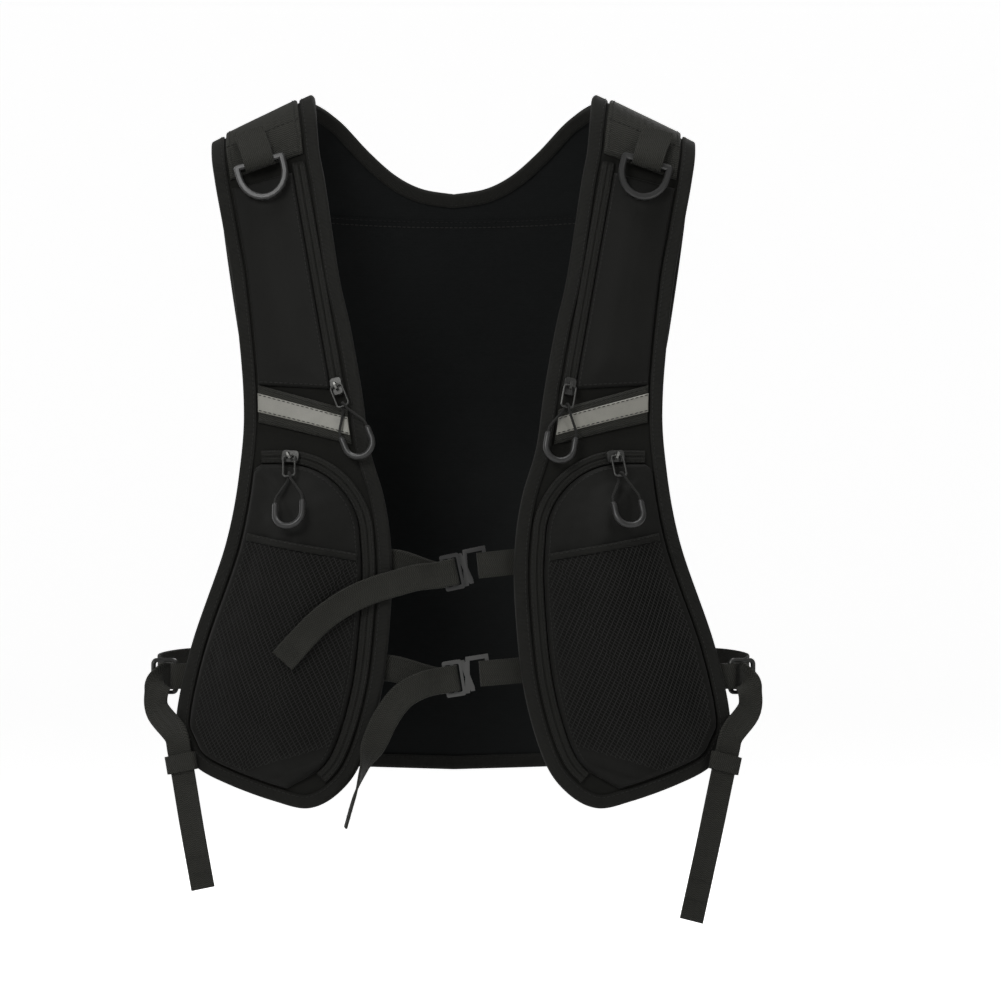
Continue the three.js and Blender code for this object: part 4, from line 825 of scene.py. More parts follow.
def pattern_area(path):
    x, y = path[:, 0], path[:, 1]
    return abs(float(np.sum(x * np.roll(y, -1) - y * np.roll(x, -1)))) / 2 * MM * MM


# %% Front panels
EDGE_SHARES = np.concatenate([[0, 0.01, 0.03], np.linspace(0.06, 0.94, 30), [0.97, 0.99, 1]])
panel_in = inset(inner_run, EDGE_INSET)
panel_out = inset(outer_run, -EDGE_INSET)
panel_rows = rows_between(panel_in, panel_out, EDGE_SHARES)
panel_flat = panel_rows.reshape(-1, 2)
clear_of_edge = np.minimum(1, distance_to_path(panel_flat, OUTLINE[::4]) / 12).reshape(panel_rows.shape[:2])
for side, hand in SIDES:
    wave = ripples(panel_rows[..., 0], panel_rows[..., 1], 34, 3 + hand)
    top = PANEL_THICK - 0.25 + clear_of_edge * (0.25 + 0.3 * wave)
    low = 0.25 - clear_of_edge * (0.25 + 0.1 * wave)
    piece = thick_sheet(f"{side}_front_cloth", panel_rows, top, low, PANEL, hand)
    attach(piece, ROOT)
    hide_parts(f"{side}_front_panel")
print("front panel area:", round(pattern_area(OUTLINE), 4), "m2")

# %% [markdown]
# ## Bindings
# A binding is a woven tape folded over the raw edge and sewn through both sides. Its section is a
# flattened U with a round fold. The stitches pull it down a little, so it puckers along its length.

# %% Binding
def binding_section(thick, steps=7):
    """Width across the tape and height, for the outer skin and back along the inner skin."""
    low, high = -BINDING_PLAY, thick + BINDING_PLAY
    fold = EDGE_INSET - BINDING_PLAY
    middle, radius = (low + high) / 2, (high - low) / 2
    angles = np.linspace(-math.pi / 2, -3 * math.pi / 2, steps + 2)
    outer = [(BINDING_WIDTH, low - BINDING_WALL), (5.2, low - BINDING_WALL), (2.6, low - BINDING_WALL)]
    for a in angles:
        reach = 1.6 * math.cos(a)
        outer.append((fold + 0.8 + min(0.0, reach), middle + (radius + BINDING_WALL) * math.sin(a)))
    outer += [(2.6, high + BINDING_WALL), (5.2, high + BINDING_WALL), (6.9, high + BINDING_WALL)]
    outer += [(BINDING_WIDTH, high + BINDING_WALL * 0.55), (BINDING_WIDTH, high)]
    inner = [(5.2, high), (fold + 0.6, high), (fold + 0.1, middle), (fold + 0.6, low), (5.2, low)]
    inner.append((BINDING_WIDTH, low))
    return np.array(outer + inner)


def bound_edge(name, node, path, thick, hand, side, seam, seed):
    section = binding_section(thick)
    pucker = 0.16 * ripples(np.arange(len(path)) * 1.0, 0, 5.5, seed, 5)
    middle = thick / 2
    rings, cloth = [], []
    lengths = distances(path)
    lines = [inset(path, w) for w, _ in section]
    for (w, h), line in zip(section, lines):
        skin = h > middle + 1
        rings.append(on_cloth(line, h + pucker * (w / BINDING_WIDTH) * skin, hand, side))
        cloth.append(np.stack([np.full(len(path), w), lengths], -1))
    piece = sweep(name, np.stack(rings, 1), BINDING, np.stack(cloth, 1))
    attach(piece, ROOT)
    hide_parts(node)
    skin = thick + BINDING_PLAY + BINDING_WALL
    seam.sew(inset(path, BINDING_WIDTH - 1.4), skin + 0.1, hand, side)
    seam.sew(inset(path, BINDING_WIDTH - 1.4), -BINDING_PLAY - BINDING_WALL, hand, side, radius=0.1)
    return piece


for side, hand in SIDES:
    bound_edge(f"{side}_front_binding", f"{side}_edge_binding", front_edge, PANEL_THICK,
               hand, FRONT, seams[side], 11 + hand)
print("front bindings done")

# %% [markdown]
# ## Zips
# The zips are the reverse-coil kind: two coated tapes that nearly meet, with the teeth hidden behind
# a thin slit. Each is a flat strip with a groove along its middle and a row of tiny coil turns in it.

# %% Zip lines on the pattern
TAPE_WIDTH, TAPE_THICK, SIDE_GAP = 7.2, 1.2, 0.6
zip_inset = BINDING_WIDTH + SIDE_GAP + TAPE_WIDTH / 2 + 0.8
clear_of_binding = BINDING_WIDTH + SIDE_GAP + 0.8
all_inset = inset(OUTLINE, zip_inset)
zip_side = all_inset[: HEM_MIDDLE + 1]
inner_side = inset(OUTLINE, clear_of_binding)[: HEM_MIDDLE + 1]
outer_side = inset(OUTLINE, clear_of_binding)[HEM_MIDDLE:][::-1]
strap_zip = resample(stretch(zip_side, -20, -147, [0, 1]), evenly(60))

POCKET_TOP, POCKET_CORNER = -186.5, 46.0
beside_edge = stretch(zip_side, POCKET_TOP - POCKET_CORNER, -9999, evenly(60))
corner_centre = beside_edge[0] + [POCKET_CORNER, 0]
turns = -math.pi / 2 - evenly(24) * math.pi / 2
zip_corner = corner_centre + POCKET_CORNER * np.stack([np.cos(turns), np.sin(turns)], -1)
zip_start = np.array([[107.0, zip_corner[0, 1]]])
pocket_zip_dense = np.concatenate([zip_start, zip_corner, beside_edge[1:]])
pocket_zip = by_length(pocket_zip_dense[:-4], 1.5)
print("pocket zip:", round(length_of(pocket_zip)), "mm")


# %% Zip tapes and coils
def zip_section():
    half, top = TAPE_WIDTH / 2, LAYER_LOW + TAPE_THICK
    left = [(-half, LAYER_LOW), (-half, top - 0.35), (-half + 0.4, top), (-1.1, top), (-0.55, top + 0.1),
            (-0.3, top - 0.45)]
    return left + [(-across, height) for across, height in left[::-1]]


def zip_piece(name, node, path, hand, seam):
    rings, cloth = [], []
    lengths = distances(path)
    for w, h in zip_section():
        rings.append(on_cloth(inset(path, w), np.full(len(path), h), hand))
        cloth.append(np.stack([np.full(len(path), w), lengths], -1))
    piece = sweep(name, np.stack(rings, 1), ZIP_TAPE, np.stack(cloth, 1))
    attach(piece, ROOT)
    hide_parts(node)
    for edge in (-1, 1):
        seam.sew(inset(path, edge * (TAPE_WIDTH / 2 - 0.9)), LAYER_LOW + TAPE_THICK + 0.05, hand)
    coils = Seams()
    coils.sew(path, LAYER_LOW + TAPE_THICK - 0.3, hand, spacing=1.3, dash=0.8, radius=0.3)
    coils.finish(f"{name}_coil", ROOT, "zip_tape", ZIP_TAPE)


for side, hand in SIDES:
    zip_piece(f"{side}_strap_zip", f"{side}_strap_zip_tape", strap_zip, hand, seams[side])
    zip_piece(f"{side}_pocket_zip_line", f"{side}_pocket_zip_tape", pocket_zip, hand, seams[side])


print("zip tape section:", len(zip_section()), "points")

# %% [markdown]
# ## Pockets
# The flat pocket on each strap is a thin cushion. The cargo pocket is fuller: its face rises from a
# low side wall and swells towards the middle, and the cloth is pulled into slack folds below its zip.
# Both are grids whose points crowd together near the edge, where the cloth turns over.

# %% Strap pockets
tape_clear = TAPE_WIDTH / 2 + SIDE_GAP
CROWDED = np.concatenate([[0, 0.006, 0.015, 0.03], np.linspace(0.05, 0.95, 30), [0.97, 0.985, 0.994, 1]])


def pocket_height(distance, rim, rise, reach, rounding=1.6):
    share = np.clip(distance / rounding, 0, 1)
    turn_over = np.sqrt(1 - (1 - share) ** 2)
    return 0.35 + (rim - 0.35) * turn_over + rise * smoothstep(distance / reach)


strap_pocket_in = resample(inset(strap_zip, tape_clear), 0.04 + 0.96 * evenly(90))
strap_pocket_out = stretch(outer_side, -35, -144.5, evenly(90))
strap_pocket_edge = np.concatenate([strap_pocket_in, strap_pocket_out[::-1], strap_pocket_in[:1]])
strap_rows = rows_between(strap_pocket_in, strap_pocket_out, CROWDED)
strap_rows = np.stack([resample(strap_rows[:, k], CROWDED * 0.999) for k in range(strap_rows.shape[1])], 1)
strap_distance = distance_to_path(strap_rows.reshape(-1, 2), strap_pocket_edge).reshape(strap_rows.shape[:2])
for side, hand in SIDES:
    u, v = strap_rows[..., 0], strap_rows[..., 1]
    slack = ripples(u, v, 30, 20 + hand, stretch_v=2.2) * smoothstep(strap_distance / 9)
    top = LAYER_LOW + pocket_height(strap_distance, 2.0, 2.2, 16) + 1.1 * slack
    piece = thick_sheet(f"{side}_strap_pocket_cloth", strap_rows, top, LAYER_LOW, POCKET, hand)
    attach(piece, ROOT)
    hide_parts(f"{side}_strap_pocket")
    lower = strap_rows[-1, 2:-2] + [0, -1.5]
    seams[side].sew(lower, LAYER_LOW + 2.1, hand)
    seams[side].sew(inset(strap_zip, tape_clear + 1.3)[4:-1], LAYER_LOW + 2.05, hand)
print("strap pockets done")

# %% Cargo pocket outline
MESH_TOP_IN, MESH_TOP_OUT = -247, -231
UPPER_STEPS, LOWER_STEPS = 40, 80
POCKET_TOE, TOE_STEPS = 16, 4
POCKET_RIM, POCKET_RISE, POCKET_REACH = 3.4, 13.0, 36.0
MESH_GAP = 0.8
BAND_START = 0.91  # where the raised band below the mesh starts, as a share of the lower part
beside_zip = inset(pocket_zip_dense, tape_clear)[:-TOE_STEPS]
mesh_top_in = np.array([beside_edge[0, 0] + tape_clear, front_at(60, MESH_TOP_IN)[1]])
split_in = nearest(beside_zip, mesh_top_in)
upper_in, lower_in = beside_zip[: split_in + 1], beside_zip[split_in:]
upper_out = stretch(outer_side, POCKET_TOP - tape_clear - 3, MESH_TOP_OUT, evenly(40))
lower_out = outer_side[nearest(outer_side, upper_out[-1]) :]
lower_out = lower_out[lower_out[:, 0] > beside_zip[-1, 0] + POCKET_TOE]
lower_out = np.concatenate([upper_out[-1:], lower_out[1:]])
pocket_edge = np.concatenate([beside_zip, lower_out[::-1], upper_out[::-1], beside_zip[:1]])
upper_sides = [resample(side_line, evenly(UPPER_STEPS)) for side_line in (upper_in, upper_out)]
upper_rows = rows_between(*upper_sides, CROWDED)
lower_sides = [resample(side_line, evenly(LOWER_STEPS)) for side_line in (lower_in, lower_out)]
lower_rows = rows_between(*lower_sides, CROWDED)
pocket_rows = np.concatenate([upper_rows[:-1], lower_rows])
pocket_distance = distance_to_path(pocket_rows.reshape(-1, 2), pocket_edge[::2])
pocket_distance = pocket_distance.reshape(pocket_rows.shape[:2])


def pocket_top(points):
    flat = np.asarray(points, float).reshape(-1, 2)
    share = distance_to_path(flat, pocket_edge[::2]) / POCKET_REACH
    return LAYER_LOW + POCKET_RIM + POCKET_RISE * smoothstep(share)


print("cargo pocket outline:", len(pocket_edge), "points")

# %% Cargo pockets
BAND_ROW = UPPER_STEPS + int(round(LOWER_STEPS * BAND_START))
row_number = np.arange(len(pocket_rows))[:, None] * np.ones(pocket_rows.shape[1])
hem_band = smoothstep(row_number, BAND_ROW, BAND_ROW + 2)
for side, hand in SIDES:
    u, v = pocket_rows[..., 0], pocket_rows[..., 1]
    loose = smoothstep(pocket_distance / 10)
    folds = ripples(u + 0.5 * v, v - 0.3 * u, 26, 40 + hand, stretch_v=1.8)
    folds = folds + 0.3 * ripples(u, v, 9, 50 + hand)
    top = LAYER_LOW + pocket_height(pocket_distance, POCKET_RIM, POCKET_RISE, POCKET_REACH, 2.6)
    top = top + (1.5 * folds - 0.5) * loose + 1.3 * hem_band * smoothstep(pocket_distance / 4)
    top = np.minimum(top, (pocket_top(pocket_rows.reshape(-1, 2)).reshape(u.shape) + 0.55 + 1.2 * hem_band))
    piece = thick_sheet(f"{side}_cargo_pocket_cloth", pocket_rows, top, LAYER_LOW, POCKET, hand)
    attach(piece, ROOT)
    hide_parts(f"{side}_cargo_pocket")
    seams[side].sew(inset(beside_zip, 2.2)[1:-2], LAYER_LOW + POCKET_RIM + 0.12, hand)
print("cargo pockets:", pocket_rows.shape[0] * pocket_rows.shape[1], "points on each face")

# %% [markdown]
# ## The mesh pocket
# The stretch mesh over the cargo pocket is made of real strands. Each strand is a thin zigzag tube,
# and every other one is mirrored, so they touch and leave small diamond holes. Points outside the
# pocket's outline are left out, and a folded hem finishes the top edge.

# %% Mesh pocket
MESH_PITCH, MESH_STEP, STRAND = 1.35, 0.75, 0.23
MESH_DOWN = 0.86  # how far down the pocket's lower part the mesh runs, as a share
MESH_IN, MESH_OUT = 0.035, 0.95  # the mesh's two sides, as shares of the pocket's width
mesh_lower = rows_between(*lower_sides, evenly(40))
mesh_rows = mesh_lower[: int(round(LOWER_STEPS * MESH_DOWN))]


def mesh_side(share):
    return np.stack([row[0] + share * (row[-1] - row[0]) for row in mesh_rows])


mesh_left, mesh_right = mesh_side(MESH_IN), mesh_side(MESH_OUT)
mesh_outline = np.concatenate([mesh_left, mesh_right[::-1]])


def lattice(outline):
    """Zigzag strands as four-sided tubes, and the faces between neighbouring rings."""
    low, high = outline.min(0) - 1, outline.max(0) + 1
    strands = int((high[0] - low[0]) / MESH_PITCH)
    steps = int((high[1] - low[1]) / MESH_STEP)
    i, j = np.meshgrid(np.arange(strands), np.arange(steps), indexing="ij")
    swing = np.where((i + j // 2) % 2 == 0, 0.42, -0.42) * np.where(j % 2 == 0, 1.0, 0.0)
    u = low[0] + (i + swing) * MESH_PITCH + 0.5 * (j * MESH_STEP)
    u = low[0] + np.mod(u - low[0], high[0] - low[0])
    v = low[1] + j * MESH_STEP
    kept = inside_path(np.stack([u.ravel(), v.ravel()], -1), outline).reshape(u.shape)
    together = kept[:, :-1] & kept[:, 1:] & (np.abs(np.diff(u, axis=1)) < MESH_PITCH * 1.5)
    return u, v, together


def mesh_cloth(name, hand):
    u, v, together = lattice(mesh_outline)
    base = pocket_top(np.stack([u, v], -1)).reshape(u.shape) + MESH_GAP + 0.35
    base = base + 0.35 + 0.9 * ripples(u + 0.4 * v, v, 24, 60 + hand, stretch_v=2.2).clip(-0.4, 0.6)
    corners = []
    for turn in range(4):
        angle = turn * math.pi / 2
        around = np.stack([u + STRAND * math.cos(angle), v], -1)
        corners.append(on_cloth(around, base + STRAND * math.sin(angle), hand))
    points = np.stack(corners, 2).reshape(-1, 3)
    steps = u.shape[1]
    i, j = np.nonzero(together)
    first, second = (i * steps + j) * 4, (i * steps + j + 1) * 4
    faces = np.concatenate([
        np.stack([first + k, first + (k + 1) % 4, second + (k + 1) % 4, second + k], -1) for k in range(4)
    ])
    used, faces = np.unique(faces, return_inverse=True)
    faces = faces.reshape(-1, 4)
    pattern = np.repeat(np.stack([u, v], -1).reshape(-1, 2), 4, axis=0)
    if hand < 0:
        faces = faces[:, ::-1]
    return new_piece(name, points[used], faces, MESH_THREAD, pattern[used])


def edge_strip(name, path, width, height, thick, material, hand, side=FRONT):
    """A narrow folded band along a path on the cloth."""
    shares = [0, 0.06, 0.5, 0.94, 1]
    rows = np.stack([inset(path, width * share) for share in shares], 1)
    bulge = np.array([0.0, 0.75, 1.0, 0.75, 0.0]) * thick
    low = np.broadcast_to(np.asarray(height)[:, None], rows.shape[:2])
    piece = thick_sheet(name, rows, low + 0.1 + bulge, low, material, hand, side)
    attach(piece, ROOT)
    return piece


hem_line = resample(np.stack([mesh_left[0], mesh_right[0]]), evenly(60))
for side, hand in SIDES:
    piece = mesh_cloth(f"{side}_mesh_cloth", hand)
    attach(piece, ROOT)
    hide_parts(f"{side}_mesh_pocket")
    hem_height = pocket_top(hem_line) + MESH_GAP + 0.1
    hem = edge_strip(f"{side}_mesh_hem", hem_line, 4.0, hem_height, 0.8, BINDING, hand)
    seams[side].sew(inset(hem_line, 3.2), pocket_top(hem_line) + MESH_GAP + 0.95, hand)
print("mesh strands:", len(piece.data.polygons), "faces on one side")

# %% [markdown]
# ## Webbing on the shoulders and the reflectors
# A wide webbing patch is sewn over each shoulder with a border of stitches and a crossed box. The
# reflector is a band of webbing across the strap with a silver strip stitched along both edges.

# %% Shoulder webbing
WEB_THICK, WEB_WIDTH, STRIP_WIDTH = 1.6, 20.0, 9.5
from_along = -SEAM_BEHIND + 4
inner_top = int(np.argmax(inner_side[:, 1] + ridge(inner_side[:, 0]) >= from_along))
outer_top = int(np.argmax(outer_side[:, 1] + ridge(outer_side[:, 0]) >= from_along))
inner_low = nearest(inner_side, strap_zip[0]) - 3
outer_low = nearest(outer_side, strap_pocket_out[0]) - 2
web_in = resample(inner_side[inner_top:inner_low], evenly(30))
web_out = resample(outer_side[outer_top:outer_low], evenly(30))
ROUNDED = np.concatenate([[0, 0.008, 0.02], np.linspace(0.05, 0.95, 16), [0.98, 0.992, 1]])


def webbing_patch(name, node, rows, hand, material, low, thick):
    edge = np.concatenate([rows[0], rows[:, -1], rows[-1, ::-1], rows[::-1, 0]])
    away = distance_to_path(rows.reshape(-1, 2), edge).reshape(rows.shape[:2])
    top = low + thick * (0.55 + 0.45 * np.minimum(1, away / 0.7))
    top = top + 0.08 * ripples(rows[..., 0], rows[..., 1], 24, 7)
    piece = thick_sheet(name, rows, top, low, material, hand)
    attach(piece, ROOT)
    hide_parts(node)
    return piece


def border_stitches(seam, rows, margin, height, hand):
    loop = np.concatenate([rows[0], rows[1:, -1], rows[-1, -2::-1], rows[-2::-1, 0]])
    middle = rows.reshape(-1, 2).mean(0)
    size = np.ptp(rows.reshape(-1, 2), axis=0)
    seam.sew(middle + (loop - middle) * (1 - 2 * margin / size), height, hand)


for side, hand in SIDES:
    rows = rows_between(web_in, web_out, ROUNDED)
    webbing_patch(f"{side}_shoulder_web", f"{side}_shoulder_webbing", rows, hand, WEBBING,
                  LAYER_LOW, WEB_THICK)
    border_stitches(seams[side], rows, 2.2, LAYER_LOW + WEB_THICK + 0.15, hand)
    seams[side].sew(rows[18], LAYER_LOW + WEB_THICK + 0.15, hand)
print("shoulder webbing done")

# %% Tape over the shoulder seams
SEAM_X = np.linspace(87.3, 128.7, 30)
SEAM_ACROSS = np.linspace(-8.9, -16.5, 7)
SEAM_TAPE = {"top": (PANEL_THICK + 0.1, PANEL_THICK + 0.75), "under": (-0.75, -0.1)}
for side, hand in SIDES:
    seam_rows = np.array([[past_ridge(x, along) for along in SEAM_ACROSS] for x in SEAM_X])
    for place, (low, high) in SEAM_TAPE.items():
        piece = thick_sheet(f"{side}_seam_tape_{place}", seam_rows, high, low, BINDING, hand)
        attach(piece, ROOT)
    for column in (1, 5):
        seams[side].sew(seam_rows[:, column], SEAM_TAPE["top"][1], hand)
print("shoulder seams taped")

# %% Reflectors
REFLECTOR_IN, REFLECTOR_OUT = -160.5, -146.5


def reflector_band(above, below):
    inner = stretch(inner_side, REFLECTOR_IN - above, REFLECTOR_IN - below, evenly(12))
    outer = stretch(outer_side, REFLECTOR_OUT - above, REFLECTOR_OUT - below, evenly(12))
    return rows_between(inner, outer, ROUNDED)


margin = (WEB_WIDTH - STRIP_WIDTH) / 2
for side, hand in SIDES:
    rows = reflector_band(0, WEB_WIDTH)
    webbing_patch(f"{side}_reflector_web", f"{side}_reflector_webbing", rows, hand, WEBBING,
                  LAYER_LOW, WEB_THICK)
    strip = reflector_band(margin, margin + STRIP_WIDTH)
    low = LAYER_LOW + WEB_THICK + 0.3
    webbing_patch(f"{side}_reflective_tape", f"{side}_reflective_strip", strip, hand,
                  REFLECTIVE, low, 0.45)
    for row in (1, -2):
        seams[side].sew(strip[row], low + 0.5, hand)
        seams[side].sew(rows[row], LAYER_LOW + WEB_THICK + 0.1, hand)
print("reflectors done")

# %% [markdown]
# ## The back
# The back is a thin lined panel. Its pattern is filled in from its four edges: the neck and centre
# line, the outer edge, the shoulder seam and the hem. Both halves are welded into one piece. A yoke
# seam crosses below the neck, and bindings run round the neck and the outer edge.

# %% Back outline
BACK_NECK = [(70, 8.5), (62, 2), (48, -13), (33, -26), (18, -33.5), (0, -36.5)]
BACK_OUTER = [(131, -60), (123, -115), (115, -160), (114, -200), (119, -250), (126, -300), (129, -338)]
BACK_HEM = [(124, -356), (104, -361), (60, -364), (0, -366)]
BACK_THICK, SEAM_GAP = 2.2, 0.4


def back_seam(x):
    return past_ridge(x, SEAM_BEHIND + SEAM_GAP)


def mirrored(path):
    return path * [-1, 1]


def whole_path(half):
    return np.concatenate([mirrored(half), half[::-1][1:]])


neck_run = smooth([back_seam(NECK_HALF + 0.5)] + [back_at(x, z) for x, z in BACK_NECK], 24)
outer_back = smooth([back_seam(SHOULDER_OUT)] + [back_at(x, z) for x, z in BACK_OUTER + BACK_HEM], 24)
neck_path = by_length(whole_path(neck_run), 1.6)
back_edge_path = by_length(whole_path(outer_back), 1.8)
print("back edge:", round(length_of(back_edge_path)), "mm")

# %% Back panel
def welded_sheet(name, points, quads, top, low, material, side):
    """A closed solid over pattern points and quads, with walls along every free edge."""
    rounded = np.round(points, 3)
    _, first, index = np.unique(rounded, axis=0, return_index=True, return_inverse=True)
    points, quads = points[first], index.reshape(-1)[quads]
    top, low = top[first], low[first]
    count = len(points)
    edges = {(q[k], q[(k + 1) % 4]) for q in quads.tolist() for k in range(4)}
    walls = [(b, a, a + count, b + count) for a, b in edges if (b, a) not in edges]
    faces = np.concatenate([quads, quads[:, ::-1] + count, np.array(walls)])
    places = np.concatenate([on_cloth(points, top, 1, side), on_cloth(points, low, 1, side)])
    piece = new_piece(name, places, faces, material, np.concatenate([points, points]))
    turn_faces_out(piece.data)
    return piece


neck_half = inset(neck_path, -EDGE_INSET)
neck_half = mirrored(neck_half[: len(neck_half) // 2 + 1])
neck_half[-1, 0] = 0
edge_half = inset(back_edge_path, EDGE_INSET)
edge_half = mirrored(edge_half[: len(edge_half) // 2 + 1])
edge_half[-1, 0] = 0
corner = nearest(edge_half, back_at(*BACK_HEM[0]))
centre_line = np.stack([neck_half[-1], edge_half[-1]])
ROWS, COLUMNS = 110, 60
left_line = np.concatenate([resample(neck_half, evenly(34)), resample(centre_line, evenly(ROWS - 34))[1:]])
right_line = resample(edge_half[: corner + 1], evenly(ROWS))
hem_half = resample(edge_half[corner:][::-1], evenly(COLUMNS))
top_line = resample(np.stack([left_line[0], right_line[0]]), evenly(COLUMNS))
s, t = evenly(COLUMNS)[None, :, None], evenly(ROWS)[:, None, None]
back_grid = (
    (1 - s) * left_line[:, None] + s * right_line[:, None]
    + (1 - t) * top_line[None] + t * hem_half[None]
)
corners = (
    (1 - s) * (1 - t) * left_line[0] + s * (1 - t) * right_line[0]
    + (1 - s) * t * hem_half[0] + s * t * hem_half[-1]
)
back_grid = back_grid - corners
flat = back_grid.reshape(-1, 2)
quads = grid_faces(ROWS + 1, COLUMNS + 1)
both = np.concatenate([flat, mirrored(flat)])
quads = np.concatenate([quads, quads[:, ::-1] + len(flat)])
back_outline = np.concatenate([inset(neck_path, -EDGE_INSET), inset(back_edge_path, EDGE_INSET)[::-1]])
from_edge = np.minimum(1, distance_to_path(both, np.concatenate([back_outline, back_outline[:1]])) / 16)
sag = ripples(both[:, 0], both[:, 1], 90, 71, stretch_v=1.6) + 0.35 * ripples(both[:, 0], both[:, 1], 28, 72)
piece = welded_sheet("back_cloth", both, quads, BACK_THICK - 0.2 + from_edge * (0.2 + 0.6 * sag),
                     0.2 - from_edge * (0.2 - 0.6 * sag), LINING, BACK)
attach(piece, ROOT)
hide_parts("back_panel")

# %% Back bindings and seams
bound_edge("neck_edge_cloth", "neck_binding", neck_path[::-1], BACK_THICK, 1, BACK, seams["back"], 81)
bound_edge("back_edge_cloth", "back_edge_binding", back_edge_path, BACK_THICK, 1, BACK, seams["back"], 82)
yoke = np.array([back_at(x, -52 + 7 * (abs(x) / 120) ** 2) for x in np.linspace(-122, 122, 60)])
for height in (BACK_THICK + 0.35, -0.45):
    seams["back"].sew(yoke, height, 1, BACK)
    seams["back"].sew(yoke + [0, 3.2], height, 1, BACK)
edge_strip("yoke_fold", yoke, 1.2, np.full(len(yoke), -0.7), 0.5, LINING, 1, BACK)
print("back finished")

# %% [markdown]
# ## Straps
# A strap is a woven ribbon with rounded edges. It follows a smooth curve through stations, and each
# station says where the ribbon is and which way its width lies. The chest straps turn back round
# their buckles and drape over the pockets. The side straps pass through a ring and hang down.

# %% Frames and ribbons
STRAP_WIDTH, STRAP_THICK, STRAP_PLAY = 15.0, 1.3, 0.6
UP = np.array([0.0, 0.0, 1.0])


def unit(vector):
    return np.asarray(vector, float) / np.linalg.norm(vector)


def frame_of(at, up, out):
    y = unit(up)
    z = unit(out - y * np.dot(out, y))
    frame4 = np.eye(4)
    frame4[:3, 0], frame4[:3, 1], frame4[:3, 2], frame4[:3, 3] = np.cross(y, z), y, z, at
    return frame4


def place3(frame4, x, y, z):
    return frame4[:3, :3] @ np.array([x, y, z], float) + frame4[:3, 3]


def turn_z(frame4, angle):
    turned = frame4.copy()
    turned[:3, 0] = frame4[:3, 0] * math.cos(angle) + frame4[:3, 1] * math.sin(angle)
    turned[:3, 1] = frame4[:3, 1] * math.cos(angle) - frame4[:3, 0] * math.sin(angle)
    return turned


def front_place(x, pattern_y, height, side=FRONT):
    return on_cloth(np.array([[abs(x), pattern_y]]), np.array([float(height)]), 1 if x >= 0 else -1, side)[0]


def front_out(x, pattern_y):
    return outward(x, pattern_y + ridge(x))


def curve_through(points, steps):
    """A centripetal Catmull-Rom curve."""
    points = np.asarray(points, float)
    padded = np.concatenate([[2 * points[0] - points[1]], points, [2 * points[-1] - points[-2]]])
    t = (np.arange(steps) / steps)[:, None]
    pieces = []
    for i in range(len(points) - 1):
        a, b, c, d = padded[i : i + 4]
        gaps = [max(1e-2, math.sqrt(np.linalg.norm(q - p))) for p, q in ((a, b), (b, c), (c, d))]
        v0 = ((b - a) / gaps[0] - (c - a) / (gaps[0] + gaps[1]) + (c - b) / gaps[1]) * gaps[1]
        v1 = ((c - b) / gaps[1] - (d - b) / (gaps[1] + gaps[2]) + (d - c) / gaps[2]) * gaps[1]
        pieces.append((2 * b - 2 * c + v0 + v1) * t**3 + (-3 * b + 3 * c - 2 * v0 - v1) * t**2 + v0 * t + b)
    return np.concatenate(pieces + [points[-1:]])


print("frame helpers ready")

# %% Ribbons
def ribbon(name, node, stations, body, width=STRAP_WIDTH, thick=STRAP_THICK, steps=8):
    route = curve_through([s[0] for s in stations], steps)
    across = curve_through([s[1] for s in stations], steps)
    along = np.gradient(route, axis=0)
    along /= np.linalg.norm(along, axis=1, keepdims=True)
    across -= along * np.sum(across * along, axis=1, keepdims=True)
    across /= np.linalg.norm(across, axis=1, keepdims=True)
    face = np.cross(along, across)
    lengths = distances(route)
    half, deep = width / 2, thick / 2
    edge = [(0, 0), (0.12, 0.7), (0.5, 1), (1.3, 1.05), (1.6, 0.86)]
    rim = [(-half + x, h) for x, h in edge] + [(0, 0.86)]
    upper = rim + [(-x, h) for x, h in rim[-2::-1]]
    section = upper + [(x, -h) for x, h in upper[-2:0:-1]]
    rings = [route + across * x + face * (h * deep) for x, h in section]
    cloth = [np.stack([np.full(len(route), x), lengths], -1) for x, _ in section]
    piece = sweep(name, np.stack(rings, 1), WEBBING, np.stack(cloth, 1))
    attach(piece, body)
    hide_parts(node)
    return route, across, face


def cross_stitches(name, body, route, across, face, at, rows=(0, 1), reach=5.6, lift=0.72):
    """Short rows of thread across a strap, on both of its faces."""
    sewn = Seams()
    for row in rows:
        k = at + row
        shares = np.linspace(-reach, reach, 6)
        for way in (-1, 1):
            middle = route[k] + across[k] * shares[:, None] + face[k] * (lift * way)
            along = np.repeat(across[k][None], 6, axis=0)
            sewn.add(middle, along, np.repeat(face[k][None], 6, axis=0), np.zeros((6, 2)), 1.8, 0.26)
    sewn.finish(name, body, "webbing")


print("ribbon helpers ready")

# %% Chest straps
BEHIND_BINDING = BINDING_PLAY + BINDING_WALL + 0.4
BUCKLE_LENGTH, BUCKLE_THICK, BUCKLE_BAR = 11.0, 2.8, 1.6
BUCKLE_SLOT = (BUCKLE_LENGTH - 3 * BUCKLE_BAR) / 2
TAIL_LIFT = 1.4
UPPER_TAIL = [(-20, -255), (-31, -258), (-44, -262), (-57, -268), (-71, -278.5), (-82, -291), (-91, -302)]
LOWER_TAIL = [(-18, -316), (-28, -322), (-37, -334), (-43, -347), (-49, -362), (-55, -380), (-59.5, -396)]


def front_top(p):
    if inside_path(np.array([p]), pocket_edge)[0]:
        return float(pocket_top([p])[0]) + MESH_GAP + 1.0
    return LAYER_LOW + WEB_THICK + 0.3 + 0.5


def edge_at_level(z):
    return stretch(OUTLINE[: HEM_MIDDLE + 1], z, -9999, [0])[0]


